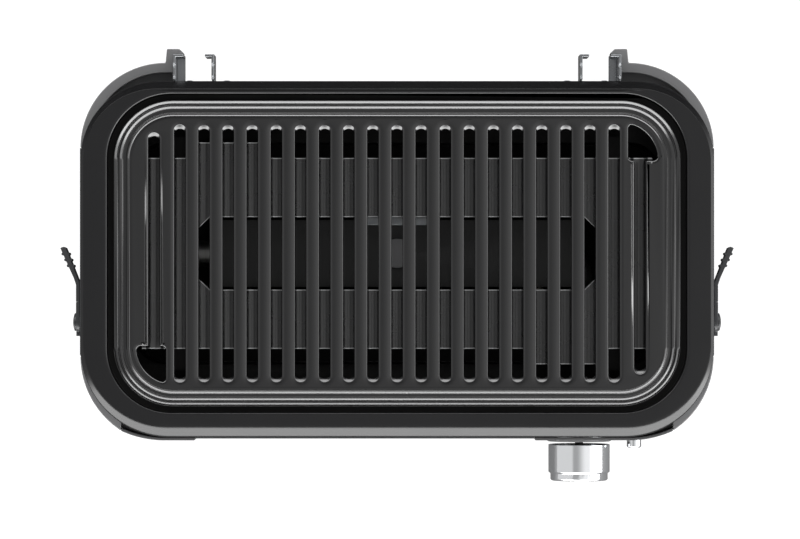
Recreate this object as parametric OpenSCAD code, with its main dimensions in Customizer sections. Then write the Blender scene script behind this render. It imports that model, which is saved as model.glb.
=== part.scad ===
// Portable gas grill: slotted grill plate over a gutter plate and one burner, on four corner legs.
// Millimetres, +Z up, front towards -Y. The origin is the centre of the footprint on the table.

/* [Body] */
// Width over the rim
rim_w = 467; // [450:1:490]
// Depth over the rim
rim_d = 263; // [258:1:270]
// Height of the rim's flat top above the table
rim_top_z = 140; // [134:1:160]
// Height of the body from its bottom pan to the rim's flat top
body_h = 90; // [84:1:94]
// Depth of the rim's skirt below its flat top
rim_h = 12; // [10:0.5:14]
// Thickness of the rim's skin
rim_skin = 2.5; // [1.5:0.5:3]
// Thickness of the outer casing
casing_t = 2; // [1:0.5:2.5]

/* [Grill plate] */
// Distance from the rim's end to the grill plate
plate_side = 24.5; // [23:0.5:30]
// Distance from the rim's long edges to the grill plate
plate_end = 18.75; // [18:0.25:22]
// Corner radius of the grill plate
plate_r = 44; // [40:1:46]
// Thickness of the grill plate at its slots
plate_t = 5; // [4:0.5:7]
// Width of one slot
slot_w = 8.2; // [7:0.2:10]
// Distance from slot to slot
slot_pitch = 17.8; // [16:0.1:19]
// Distance from the plate's long edges to the ends of the slots
slot_end = 18.25; // [16:0.25:30]
// Clearance round the plate in the rim's opening
plate_gap = 4.9; // [3:0.1:6]

/* [Gutter plate] */
// Distance from the grill plate's long edges to the gutter plate
gutter_end = 42; // [36:0.5:50]
// Distance from the gutter plate's ends to its flame opening
flame_end = 42; // [34:1:60]
// Width of the flame opening
flame_w = 53.8; // [40:0.2:60]
// Depth of each valley
valley_h = 5; // [3:0.5:6]
// Sheet thickness of the gutter plate
gutter_t = 1.5; // [1:0.1:2]

/* [Controls] */
// Height of the knob's axis above the bottom pan
knob_up = 28; // [26:1:32]
// Distance of the knob's axis from the rim's right end
knob_side = 97; // [94:0.5:100]
// Diameter of the knob
knob_d = 46; // [40:1:48]
// Length of the knob
knob_l = 27.2; // [22:0.2:32]
// How far the knob pushes in
knob_push = 2; // [1:0.1:2]
// Distance of the igniter button's axis from the rim's right end
igniter_side = 55.8; // [54:0.1:58]
// Diameter of the igniter button
button_d = 10.8; // [8:0.1:12]
// How far the button stands out of the control panel
button_out = 6.9; // [6:0.1:10]
// How far the button pushes in
button_push = 4; // [2:0.5:5]

/* [Latches] */
// Distance of the latch pivots below the rim's skirt
latch_drop = 20; // [18:1:24]
// Height of the latch straps
latch_h = 16; // [12:1:18]
// Thickness of the latch straps
latch_t = 2.7; // [2:0.1:3]
// How far the tips of the grips stand off the strap's line
grip_out = 12.2; // [8:0.2:14]

/* [Drip drawer] */
// Distance of the drawer's left edge from the rim's left end
drawer_side = 84.5; // [84.5:0.5:100]
// Distance of the drawer's right edge from the rim's right end
drawer_right_side = 132; // [132:0.5:140]
// How much shorter the drip tray is than the rim is deep
tray_short = 48; // [40:1:60]
// Height of the drip tray
tray_h = 18; // [12:1:20]

/* [Hidden] */
$fn = 48;

// Shared clearances: between fixed pieces, in a running fit, and past a face that a cut goes through
fit = 0.3;
run_fit = 0.05;
over = 1;

// Rim: its middle lies behind the part's middle, because the knob stands out further than the posts
rim_y = 5.05;
rim_front = rim_y - rim_d / 2;
rim_back = rim_y + rim_d / 2;
rim_x = rim_w / 2;
rim_rf = 66;
rim_rb = 58;
rim_low_z = rim_top_z - rim_h;
shoulder_h = 7;
shoulder_front = 8.5;
shoulder_back = 7.5;
shoulder_side = 2.1;
shoulder_z = rim_top_z - shoulder_h;
rim_wall = 5;
rim_side_wall = 3;

// Opening in the rim and the plate in it, on their own middle line
grate_shift = 4.3;
grate_y = rim_y + grate_shift;
plate_w = rim_w - 2 * plate_side;
plate_d = rim_d - 2 * plate_end;
opening_w = plate_w + 2 * plate_gap;
opening_d = plate_d + 2 * plate_gap;
opening_r_more = 3.5;
opening_r = plate_r + opening_r_more;

// Firebox: flange under the rim, shelf for the plate, ledge for the gutter rests, then the burner box
sheet_t = 1.5;
flange_top_z = rim_top_z - rim_skin;
plate_drop = 2.5;
plate_top_z = rim_top_z - plate_drop;
seat_h = 1;
shelf_z = plate_top_z - plate_t - seat_h;
shelf_w = 10;
mid_w = opening_w - 2 * shelf_w;
mid_d = opening_d - 2 * shelf_w;
mid_r = opening_r - shelf_w;
ledge_drop = 27.5;
ledge_z = shelf_z - ledge_drop;
ledge_side = 8.8;
ledge_front = 25.6;
burner_box_w = mid_w - 2 * ledge_side;
burner_box_d = mid_d - 2 * ledge_front;
burner_box_r = 22;
pan_z = rim_top_z - body_h;
firebox_up = 6;
firebox_z = pan_z + firebox_up;
drain_x = -20;
drain_end = 34.05;
drain_y = grate_y + burner_box_d / 2 - drain_end;
drain_w = 40;
drain_d = 24;

// Casing and bottom pan
casing_in = 2.3;
casing_front = rim_front + casing_in;
casing_back = rim_back - casing_in;
pan_t = 2;

// Leg shells: the front ones round a bigger corner than the rear ones
shell_out = 1.1;
shell_x = rim_x + shell_out;
shell_t = 3;
leg_drop = 6;
leg_top_z = rim_low_z - leg_drop;
foot_h = 8;
foot_r = 12;
leg_floor = 3;
front_r = 66;
front_out = 6.25;
front_seam_y = rim_front - front_out + front_r;
front_in = 83.5;
front_in_x = rim_x - front_in;
rear_r = 63;
rear_out = 13.95;
rear_shell_y = rim_back + rear_out;
rear_seam_y = rear_shell_y - rear_r;
rear_flat = 14.4;
rear_in_x = shell_x - rear_r - rear_flat;
rim_band_rear = 7.4;
rim_band_front = 12;
deck_drop = 16;
deck_z = leg_top_z - deck_drop;
deck_t = 2.5;
post_w = 12.3;
post_in = 1;
post_x = rear_in_x + post_in;
post_out = 10.3;
post_y = rear_shell_y + post_out;
post_up = 18;
post_z = pan_z + post_up;
post_slant = 1;
front_foot_side = 34.6;
front_foot_in = 34;
front_foot = [shell_x - front_foot_side, rim_front + front_foot_in];
rear_foot_side = 31.6;
rear_foot_in = 22;
rear_foot = [shell_x - rear_foot_side, rim_back - rear_foot_in];
boss_r = 6;
bolt_r = 2;

// Fascias at the front
fascia_t = 2.2;
fascia_out = 2.85;
fascia_y = rim_front - fascia_out;
fascia_r = 79;
fascia_curve_side = 61.5;
fascia_cx = rim_x - fascia_curve_side;
fascia_edge_side = 29;
fascia_edge_x = rim_x - fascia_edge_side;
fascia_up = 12;
fascia_low_z = foot_h + fascia_up;
fascia_drop = 1;
fascia_top_z = leg_top_z - fascia_drop;
control_side = 131;
control_left = rim_x - control_side;
front_panel_out = 3.75;
front_panel_up = 6;
drawer_up = 4;
drawer_top_z = pan_z + drawer_up;

// Hinge plates
hinge_t = 2;
hinge_side = 68;
hinge_outer_x = rim_x - hinge_side;
hinge_w = 30.5;
hinge_inner_x = hinge_outer_x - hinge_w;
hinge_out = 19.8;
hinge_back_y = rim_back + hinge_out;
hinge_drop = 30;
hinge_low_z = rim_low_z - hinge_drop;
hinge_gap = 1;
hinge_foot_z = rim_low_z - hinge_gap;
hinge_up = 8;
hinge_top_z = rim_low_z + hinge_up;
hinge_pin_out = 11.7;
hinge_pin_y = rim_back + hinge_pin_out;
hinge_pin_up = 2;
hinge_pin_z = rim_low_z + hinge_pin_up;
hinge_pin_r = 2.6;
hinge_foot_w = 15;

// Latches
latch_z = rim_low_z - latch_drop;
latch_back = 84.75;
latch_y = rim_front + latch_back;
washer_t = 1;
strap_in = shell_x + washer_t;
strap_out = strap_in + latch_t;
strap_nose = 10.4;
strap_front = latch_y - strap_nose;
strap_l = 15;
strap_back = latch_y + strap_l;
tongue_t = 1.2;
tongue_l = 9;
grip_start = 31;
grip_bend = latch_y + grip_start;
grip_l = 25;
grip_tip = grip_bend + grip_l;
pivot_r = 3;
pivot_head_r = 6.6;
pivot_head_h = 2.6;

// Controls
knob_x = rim_x - knob_side;
knob_z = pan_z + knob_up;
igniter_x = rim_x - igniter_side;
panel_front = fascia_y;
bezel_edge = 1;
bezel_r = knob_d / 2 + bezel_edge;
bezel_t = 2.1;
knob_gap = 0.2;
knob_back = panel_front - bezel_t - knob_push - knob_gap;
knob_front = knob_back - knob_l;
knob_wall = 2;
knob_band = 6.4;
knob_face_t = 3;
stem_r = 3;
stem_in = 24;
stem_back = casing_front + stem_in;
stem_head = 10;
stem_front = knob_front + stem_head;
valve_w = 18;
valve_l = 24;
valve_gap = 8;
valve_front = casing_front + valve_gap;
valve_back = valve_front + valve_l;
neck_r = 7.5;
pass_r = 8.5;
nozzle_l = 9;
nozzle_r = 5.5;
button_in = 10;
button_back = casing_front + button_in;
piezo_r = 9;
piezo_l = 42;
piezo_back = casing_front + piezo_l;
piezo_flange_r = 11;

// Gutter plate
gutter_drop = 9.5;
gutter_ridge_z = shelf_z - gutter_drop;
gutter_base_z = gutter_ridge_z - valley_h - gutter_t;
gutter_side = 20;
gutter_w = plate_w - 2 * gutter_side;
gutter_d = plate_d - 2 * gutter_end;
flame_l = gutter_w - 2 * flame_end;
tab_w = 58;
tab_out = 11.5;
tab_share = 0.665;

// Burner
burner_z = knob_z;
burner_r = 10;
burner_wall = 0.8;
elbow_r = 20;
venturi_r = 12;
venturi_gap = 4;
venturi_front = valve_back + venturi_gap;
cover_up = 20;
cover_z = burner_z + cover_up;
cover_t = 1.5;
cover_lip = 9;
boss_top_r = 11;
burner_past = 3;
burner_left = -flame_l / 2 - burner_past;
cover_end = 12;
cover_w = flame_l - 2 * cover_end;
cover_side = 1.9;
cover_d = flame_w - 2 * cover_side;

// Drip drawer
runner_t = 1.2;
runner_in = 2;
runner_lip = 6;
tray_wall = 1;
tray_drop = 5;
tray_top_z = pan_z - tray_drop;
tray_flange = 5;
drawer_face_t = 3;
drawer_face_y = fascia_y + fit;
drawer_left = drawer_side - rim_x;
drawer_right = rim_x - drawer_right_side;
drawer_x = (drawer_left + drawer_right) / 2;
tray_d = rim_d - tray_short;
tray_side = 1.5;
tray_w = drawer_right - drawer_left - 2 * (tray_flange + tray_side);

module prism(z0, z1) {
    translate([0, 0, z0]) linear_extrude(z1 - z0) children();
}

module mirrored() {
    mirror([1, 0, 0]) children();
}

module both() {
    children();
    mirrored() children();
}

// Turns what is drawn upwards so that it points to the front
module to_front(x, y, z) {
    translate([x, y, z]) rotate([90, 0, 0]) children();
}

// Turns what is drawn upwards so that it points to the left
module to_left(x, y, z) {
    translate([x, y, z]) rotate([0, -90, 0]) children();
}

function unit(v) = v / norm(v);

// A tube of the given number of sides along points; up is never in line with its way
module tube(p, r, sides, up) {
    n = len(p);
    rings = [
        for (i = [0:n - 1]) let (
            way = unit(p[min(i + 1, n - 1)] - p[max(i - 1, 0)]),
            across = unit(cross(way, up)),
            rise = cross(across, way)
        ) for (k = [0:sides - 1]) p[i] + r * (cos(360 * k / sides) * across + sin(360 * k / sides) * rise)
    ];
    walls = [
        for (i = [0:n - 2], k = [0:sides - 1]) let (a = i * sides + k, b = i * sides + (k + 1) % sides)
            each [[a, b, b + sides], [a, b + sides, a + sides]]
    ];
    start = [for (k = [sides - 1:-1:0]) k];
    end = [for (k = [0:sides - 1]) (n - 1) * sides + k];
    polyhedron(points = rings, faces = concat([start], walls, [end]));
}

// A rectangle about the middle line with its own front and rear corner radius
module plan(w, front, back, rf, rb) {
    h = w / 2;
    polygon([
        [-h + rf, front], [h - rf, front], [h, front + rf], [h, back - rb],
        [h - rb, back], [-h + rb, back], [-h, back - rb], [-h, front + rf]
    ]);
    for (s = [-1, 1]) {
        translate([s * (h - rf), front + rf]) circle(rf);
        translate([s * (h - rb), back - rb]) circle(rb);
    }
}

module rim_plan(inset) {
    plan(rim_w - 2 * inset, rim_front + inset, rim_back - inset, rim_rf - inset, rim_rb - inset);
}

module rim_top_plan(side) {
    plan(
        rim_w - 2 * (shoulder_side + side), rim_front + shoulder_front, rim_back - shoulder_back,
        rim_rf - 2 * shoulder_side - side, rim_rb - 2 * shoulder_side - side
    );
}

module grate_plan(w, d, r) {
    plan(w, grate_y - d / 2, grate_y + d / 2, r, r);
}

module rim_frame() {
    color("#35373a") difference() {
        hull() {
            prism(rim_low_z, shoulder_z) rim_plan(0);
            prism(shoulder_z, rim_top_z) rim_top_plan(0);
        }
        prism(rim_low_z - over, rim_top_z + over) grate_plan(opening_w, opening_d, opening_r);
        prism(rim_low_z - over, shoulder_z) rim_plan(rim_wall);
        prism(rim_low_z - over, flange_top_z) rim_top_plan(rim_side_wall);
    }
}

module firebox() {
    wall = 2 * sheet_t;
    color("#1c1d1f") difference() {
        union() {
            prism(flange_top_z - sheet_t, flange_top_z) rim_top_plan(rim_side_wall + fit);
            prism(shelf_z - sheet_t, flange_top_z)
                grate_plan(opening_w + wall, opening_d + wall, opening_r + sheet_t);
            prism(ledge_z - sheet_t, shelf_z) grate_plan(mid_w + wall, mid_d + wall, mid_r + sheet_t);
            prism(firebox_z, ledge_z)
                grate_plan(burner_box_w + wall, burner_box_d + wall, burner_box_r + sheet_t);
        }
        prism(shelf_z, rim_top_z) grate_plan(opening_w, opening_d, opening_r);
        prism(ledge_z, rim_top_z) grate_plan(mid_w, mid_d, mid_r);
        prism(firebox_z + sheet_t, rim_top_z) grate_plan(burner_box_w, burner_box_d, burner_box_r);
        translate([drain_x - drain_w / 2, drain_y - drain_d / 2, firebox_z - over])
            cube([drain_w, drain_d, sheet_t + 2 * over]);
        for (i = [-vent_n:vent_n])
            translate([i * vent_pitch - vent_l / 2, grate_y - vent_y, firebox_z - over])
                cube([vent_l, vent_w, sheet_t + 2 * over]);
        to_front(knob_x, grate_y, burner_z) cylinder(r = venturi_r + fit, h = burner_box_d);
        to_front(igniter_x, grate_y, knob_z) cylinder(r = lead_r + fit, h = burner_box_d);
    }
}
vent_pitch = 34;
vent_l = 22;
vent_w = 6;
vent_y = burner_box_d / 2 - drain_end;
vent_n = floor((burner_box_w / 2 - 2 * vent_l) / vent_pitch);
lead_r = 1.3;

module firebox_spacers() {
    color("#6c6f73") both() for (y = [-1, 1])
        translate([spacer_x, grate_y + y * spacer_y, pan_z + pan_t])
            cylinder(r = boss_r, h = firebox_z - pan_z - pan_t);
}
spacer_side = 30;
spacer_end = 18;
spacer_x = burner_box_w / 2 - spacer_side;
spacer_y = burner_box_d / 2 - spacer_end;

module casing() {
    color("#232427") difference() {
        prism(pan_z, rim_low_z) difference() {
            rim_plan(casing_in);
            rim_plan(casing_in + casing_t);
        }
        to_front(knob_x, rim_y, knob_z) cylinder(r = pass_r, h = rim_d);
        to_front(igniter_x, rim_y, knob_z) cylinder(r = piezo_r + fit, h = rim_d);
        for (s = [-1, 1]) to_front(knob_x + s * valve_screw_x, rim_y, knob_z)
            cylinder(r = screw_r + run_fit, h = rim_d);
        both() to_left(0, latch_y, latch_z) cylinder(r = pivot_r + run_fit, h = rim_w);
        both() for (s = [-1, 1]) to_left(0, panel_mid_y + s * panel_screw_y, panel_screw_z)
            cylinder(r = screw_r + run_fit, h = rim_w);
        for (i = [-louvre_n:louvre_n]) translate([i * louvre_pitch - louvre_l / 2, rim_y, louvre_z])
            cube([louvre_l, rim_d, louvre_h]);
        both() for (x = hinge_rivets_x, z = hinge_rivets_z)
            to_front(-x, rim_back + over, z) cylinder(r = rivet_r + run_fit, h = rim_d / 4);
    }
}
valve_screw_x = 15;
screw_r = 1.6;
screw_head_r = 3.2;
screw_head_h = 1.6;
panel_mid_y = (front_seam_y + rear_seam_y) / 2;
panel_screw_in = 12;
panel_screw_y = (rear_seam_y - front_seam_y) / 2 - panel_screw_in;
panel_screw_up = 14;
panel_screw_z = pan_z + panel_screw_up;
louvre_pitch = 34;
louvre_l = 24;
louvre_n = floor((hinge_inner_x - hinge_foot_w - louvre_l / 2) / louvre_pitch);
louvre_h = 5;
louvre_up = 22;
louvre_z = pan_z + louvre_up;
rivet_r = 1.6;
rivet_in = 9;
rivet_in_outer = 12;
rivet_end = 6;
hinge_rivets_x = [hinge_outer_x - rivet_in_outer, hinge_inner_x - rivet_in];
hinge_rivets_z = [hinge_low_z + rivet_end, hinge_foot_z - rivet_end];

module base_pan() {
    color("#3a3b3e") difference() {
        prism(pan_z, pan_z + pan_t) rim_plan(casing_in + casing_t + fit);
        translate([drain_x - drain_w / 2, drain_y - drain_d / 2, pan_z - over])
            cube([drain_w, drain_d, pan_t + 2 * over]);
        for (i = [-vent_n:vent_n]) translate([i * vent_pitch - vent_l / 2, grate_y - vent_y, pan_z - over])
            cube([vent_l, vent_w, pan_t + 2 * over]);
        translate([knob_x, inlet_y, pan_z - over]) cylinder(r = inlet_r + over, h = pan_t + 2 * over);
        at_feet() translate([0, 0, pan_z - over]) cylinder(r = bolt_r + run_fit, h = pan_t + 2 * over);
    }
}
inlet_in = 20;
inlet_y = casing_front + inlet_in;
inlet_r = 6;

module at_feet() {
    for (s = [-1, 1], p = [front_foot, rear_foot]) translate([s * p.x, p.y]) children();
}

// Outline of a rear leg, from the seam in the side round the corner to the hinge post
module rear_plan(inset) {
    cx = shell_x - rear_r;
    intersection() {
        translate([-cx, rear_seam_y]) circle(rear_r - inset);
        translate([-shell_x, rear_seam_y]) square(rear_r);
    }
    translate([-cx, rear_seam_y]) square([cx - rear_in_x, rear_r - inset]);
}

// Outline of the fascia's curve; inset moves it inwards
module fascia_plan(inset) {
    translate([-fascia_cx, fascia_y + fascia_r]) circle(fascia_r - inset);
    translate([-fascia_cx, fascia_y + inset]) square([2 * fascia_cx, fascia_r]);
}

// Outline of a front leg, from the seam in the side round the corner and behind the fascia
module front_plan(inset) {
    cx = shell_x - front_r;
    intersection() {
        union() {
            intersection() {
                translate([-cx, front_seam_y]) circle(front_r - inset);
                translate([-shell_x, front_seam_y - front_r]) square(front_r);
            }
            translate([-cx, front_seam_y - front_r + inset]) square([cx - front_in_x, front_r - inset]);
        }
        union() {
            fascia_plan(fascia_t + fit + inset);
            translate([-shell_x, front_seam_y - front_r])
                square([shell_x - fascia_edge_x - fit, front_r]);
        }
    }
}

module casing_room() {
    prism(pan_z, rim_top_z) rim_plan(casing_in - fit);
}

module foot_boss(p) {
    translate([-p.x, p.y, foot_h]) cylinder(r = boss_r, h = pan_z - foot_h);
}

module foot_bore(p) {
    translate([-p.x, p.y, foot_h - over]) cylinder(r = bolt_r + run_fit, h = pan_z);
}

// Its inner end slants outwards towards the foot
module rear_leg() {
    color("#5b5e62") difference() {
        union() {
            difference() {
                union() {
                    prism(foot_h, leg_top_z) difference() {
                        rear_plan(0);
                        rear_plan(shell_t);
                    }
                    prism(leg_top_z - shell_t, leg_top_z) difference() {
                        rear_plan(0);
                        rear_plan(rim_band_rear);
                    }
                    prism(deck_z, deck_z + deck_t) rear_plan(shell_t / 2);
                    inner_wall(casing_back, rear_shell_y, pan_z, leg_top_z);
                }
                casing_room();
            }
            prism(foot_h, foot_h + leg_floor) rear_plan(0);
            inner_wall(rear_seam_y, rear_seam_y + rear_r, foot_h, pan_z);
            translate([-shell_x + shell_t / 2, rear_seam_y, foot_h])
                cube([rear_r, shell_t, pan_z - foot_h]);
            prism(post_z, leg_top_z) polygon([
                [-post_x - post_w - post_slant, rear_shell_y - shell_t], [-post_x, rear_shell_y - shell_t],
                [-post_x, post_y - shell_t], [-post_x - shell_t, post_y],
                [-post_x - post_w, post_y], [-post_x - post_w - post_slant, rear_shell_y]
            ]);
            foot_boss(rear_foot);
        }
        foot_bore(rear_foot);
        translate([-hinge_outer_x - fit, casing_back - over, hinge_low_z - fit])
            cube([hinge_foot_w, hinge_back_y + fit - casing_back + over, rim_top_z]);
        to_front(0, post_y + over, 0) linear_extrude(rear_r + post_y) polygon([
            [-web_x(leg_top_z + over), leg_top_z + over], [-web_x(foot_h - over), foot_h - over],
            [rear_r - rear_in_x, foot_h - over], [rear_r - rear_in_x, leg_top_z + over]
        ]);
    }
}

// A wall along the leg's slanted inner end
module inner_wall(front, back, low, high) {
    to_front(0, back, 0) linear_extrude(back - front) polygon([
        [-web_x(low) - shell_t, low], [-web_x(low), low],
        [-web_x(high), high], [-web_x(high) - shell_t, high]
    ]);
}
leg_taper = 6.6;
function web_x(z) = rear_in_x + leg_taper * (leg_top_z - z) / (leg_top_z - foot_h);

module front_leg() {
    color("#5b5e62") difference() {
        union() {
            difference() {
                union() {
                    prism(foot_h, leg_top_z) difference() {
                        front_plan(0);
                        front_plan(shell_t);
                    }
                    prism(leg_top_z - shell_t, leg_top_z) difference() {
                        front_plan(0);
                        front_plan(rim_band_front);
                    }
                    prism(deck_z, deck_z + deck_t) front_plan(shell_t / 2);
                }
                casing_room();
                translate([-front_wing_x, fascia_y, pan_z]) cube([front_wing_x, front_r, rim_top_z]);
                translate([-fascia_edge_x, fascia_y, deck_z + deck_t])
                    cube([fascia_edge_x, front_r, rim_top_z]);
            }
            prism(foot_h, foot_h + leg_floor) front_plan(0);
            intersection() {
                translate([-front_in_x - shell_t, front_seam_y - front_r, foot_h])
                    cube([shell_t, front_r, pan_z - foot_h]);
                prism(foot_h, pan_z) front_plan(0);
            }
            translate([-shell_x + shell_t / 2, front_seam_y - shell_t, foot_h])
                cube([shell_x - front_in_x - shell_t, shell_t, pan_z - foot_h]);
            foot_boss(front_foot);
        }
        foot_bore(front_foot);
    }
}
front_wing_side = 53.5;
front_wing_x = rim_x - front_wing_side;

module fascia_band() {
    intersection() {
        difference() {
            fascia_plan(0);
            fascia_plan(fascia_t);
        }
        translate([-fascia_edge_x, fascia_y]) square([2 * fascia_edge_x, fascia_r / 2]);
    }
}

// A rib on the back of a fascia that stands on the casing
module fascia_rib(x) {
    translate([x, fascia_y + fascia_t / 2, pan_z + rib_gap])
        cube([rib_w, casing_front - fascia_y - fascia_t / 2, fascia_top_z - pan_z - 2 * rib_gap]);
}
rib_w = 10;
rib_gap = 8;

module front_left_fascia() {
    color("#55585c") {
        prism(fascia_low_z, fascia_top_z) intersection() {
            fascia_band();
            translate([-fascia_edge_x, fascia_y]) square([fascia_edge_x - front_in_x, fascia_r]);
        }
        fascia_rib(-front_in_x - rib_w - shell_t);
    }
}

module control_panel() {
    color("#55585c") difference() {
        union() {
            mirrored() prism(fascia_low_z, fascia_top_z) intersection() {
                fascia_band();
                translate([-fascia_edge_x, fascia_y]) square([fascia_edge_x - control_left, fascia_r]);
            }
            fascia_rib(control_left + shell_t);
            fascia_rib(knob_x + valve_screw_x + 2 * shell_t);
        }
        to_front(knob_x, casing_front + over, knob_z) cylinder(r = pass_r, h = fascia_r);
        to_front(igniter_x, casing_front + over, knob_z)
            cylinder(r = button_d / 2 + run_fit, h = fascia_r);
    }
}

module front_panel() {
    color("#2b2c2f") translate([-front_in_x + fit, casing_front - front_panel_out, pan_z + front_panel_up])
        cube([front_in_x + control_left - 2 * fit, front_panel_out, leg_top_z - pan_z - front_panel_up]);
}

module left_side_panel() {
    color("#2b2c2f") difference() {
        translate([-shell_x, front_seam_y + fit, pan_z])
            cube([shell_t, rear_seam_y - front_seam_y - 2 * fit, rim_low_z - pan_z - fit]);
        to_left(0, latch_y, latch_z) cylinder(r = pivot_r + run_fit, h = rim_w);
        for (s = [-1, 1]) to_left(0, panel_mid_y + s * panel_screw_y, panel_screw_z)
            cylinder(r = screw_r + run_fit, h = rim_w);
    }
}

module right_side_panel() {
    mirrored() left_side_panel();
}

module front_left_leg() {
    front_leg();
}

// The right one has room for the igniter
module front_right_leg() {
    difference() {
        mirrored() front_leg();
        to_front(igniter_x, rim_y, knob_z) cylinder(r = piezo_flange_r + fit, h = rim_d);
    }
}

module rear_left_leg() {
    rear_leg();
}

module rear_right_leg() {
    mirrored() rear_leg();
}

module rubber_feet() {
    color("#151516") at_feet() difference() {
        cylinder(r = foot_r, h = foot_h);
        translate([0, 0, -over]) cylinder(r = bolt_r + run_fit, h = foot_h + 2 * over);
        translate([0, 0, -over]) cylinder(r = bolt_head_r + fit, h = foot_h / 2 + over);
    }
}
bolt_head_r = 4;
bolt_head_h = 2.4;

module leg_bolts() {
    color("#9a9da0") at_feet() {
        translate([0, 0, foot_h / 2 - bolt_head_h]) cylinder(r = bolt_head_r, h = bolt_head_h);
        translate([0, 0, foot_h / 2 - over])
            cylinder(r = bolt_r, h = pan_z + pan_t + nut_h - foot_h / 2 + over);
    }
}
nut_h = 3.2;
nut_r = 4;

module leg_nuts() {
    color("#9a9da0") at_feet() translate([0, 0, pan_z + pan_t]) difference() {
        cylinder(r = nut_r, h = nut_h, $fn = 6);
        translate([0, 0, -over]) cylinder(r = bolt_r + run_fit, h = nut_h + 2 * over);
    }
}

module hinge_bore() {
    to_left(0, hinge_pin_y, hinge_pin_z) cylinder(r = hinge_pin_r, h = rim_w);
    for (y = [hinge_pin_y, hinge_pin_y - hinge_notch_y])
        to_left(0, y, hinge_top_z) cylinder(r = hinge_notch_r, h = rim_w);
}
hinge_notch_y = 9;
hinge_notch_r = 1.2;
hinge_lip = 5.8;

// The feet of both plates of a hinge lie on the casing and point inwards
module hinge_foot(x) {
    difference() {
        translate([-x, casing_back, hinge_low_z]) cube([hinge_foot_w, hinge_t, hinge_foot_z - hinge_low_z]);
        for (z = hinge_rivets_z) to_front(-x + hinge_foot_rivet(x), rim_back + over, z)
            cylinder(r = rivet_r + run_fit, h = rim_h);
    }
}
function hinge_foot_rivet(x) = x == hinge_outer_x ? rivet_in_outer : rivet_in;

// The web rises behind the rim to the bore and the notches
module hinge_web(x) {
    translate([-x, casing_back, hinge_low_z])
        cube([hinge_t, hinge_back_y - casing_back, hinge_foot_z - hinge_low_z]);
    translate([-x, rim_back + hinge_gap, hinge_low_z])
        cube([hinge_t, hinge_back_y - rim_back - hinge_gap, hinge_top_z - hinge_low_z]);
}

module left_hinge_outer_plate() {
    color("#c9ccd0") difference() {
        union() {
            hinge_web(hinge_outer_x);
            hinge_foot(hinge_outer_x);
            translate([-hinge_outer_x, casing_back, hinge_low_z])
                cube([hinge_lip + hinge_t, hinge_back_y - casing_back, hinge_t]);
            translate([-hinge_outer_x, hinge_back_y - hinge_t, hinge_low_z])
                cube([hinge_lip + hinge_t, hinge_t, hinge_top_z - hinge_low_z]);
        }
        hinge_bore();
    }
}

module left_hinge_inner_plate() {
    color("#c9ccd0") difference() {
        union() {
            translate([-hinge_t, 0, 0]) hinge_web(hinge_inner_x);
            hinge_foot(hinge_inner_x);
            translate([-hinge_inner_x - hinge_t - hinge_lip + over, hinge_back_y - hinge_t, hinge_low_z])
                cube([hinge_lip, hinge_t, hinge_top_z - hinge_low_z]);
        }
        hinge_bore();
    }
}

module right_hinge_outer_plate() {
    mirrored() left_hinge_outer_plate();
}

module right_hinge_inner_plate() {
    mirrored() left_hinge_inner_plate();
}

module hinge_rivets() {
    color("#a4a7ab") both() for (x = hinge_rivets_x, z = hinge_rivets_z) {
        to_front(-x, casing_back + hinge_t + rivet_head_h, z) cylinder(r = rivet_head_r, h = rivet_head_h);
        to_front(-x, casing_back + hinge_t + over, z) cylinder(r = rivet_r, h = hinge_t + casing_t + over);
    }
}
rivet_head_r = 3;
rivet_head_h = 1.2;

module side_panel_screws() {
    color("#8d9094") both() for (s = [-1, 1]) {
        to_left(-shell_x, panel_mid_y + s * panel_screw_y, panel_screw_z)
            cylinder(r = screw_head_r, h = screw_head_h);
        to_left(-shell_x + shell_t + casing_t + fit, panel_mid_y + s * panel_screw_y, panel_screw_z)
            cylinder(r = screw_r, h = shell_t + casing_t + 2 * fit);
    }
}

module left_latch_pivot() {
    color("#4a4c50") {
        to_left(-strap_out - run_fit, latch_y, latch_z) cylinder(r = pivot_head_r, h = pivot_head_h / 2);
        intersection() {
            to_left(-strap_out - run_fit, latch_y, latch_z) cylinder(r = pivot_head_r, h = pivot_head_h);
            to_left(-strap_out - pivot_head_h + dome_r, latch_y, latch_z) sphere(r = dome_r);
        }
        to_left(-shell_x + shell_t + casing_t + over, latch_y, latch_z)
            cylinder(r = pivot_r, h = strap_out - shell_x + shell_t + casing_t + 2 * over);
    }
}
dome_r = (pivot_head_r * pivot_head_r + pivot_head_h * pivot_head_h / 4) / pivot_head_h;

module right_latch_pivot() {
    mirrored() left_latch_pivot();
}

module left_latch_washer() {
    color("#8d9094") difference() {
        to_left(-shell_x, latch_y, latch_z) cylinder(r = pivot_head_r, h = washer_t - run_fit);
        to_left(0, latch_y, latch_z) cylinder(r = pivot_r + run_fit, h = rim_w);
    }
}

module right_latch_washer() {
    mirrored() left_latch_washer();
}

// Strap: round end at the pivot, a short catch nose before it and a thin tongue in the grip
module left_latch_strap() {
    color("#2d2e31") difference() {
        union() {
            to_left(-strap_in, latch_y, latch_z) cylinder(r = latch_h / 2, h = latch_t);
            translate([-strap_out, latch_y, latch_z - latch_h / 2])
                cube([latch_t, strap_back - latch_y, latch_h]);
            translate([-strap_in - tongue_t, strap_back - over, latch_z - latch_h / 2 + tongue_t])
                cube([tongue_t, tongue_l + over, latch_h - 2 * tongue_t]);
            translate([-strap_out, strap_front, latch_z - latch_h / 4])
                cube([latch_t, latch_y - strap_front, latch_h / 2]);
        }
        to_left(0, latch_y, latch_z) cylinder(r = pivot_r + run_fit, h = rim_w);
    }
}

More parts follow.
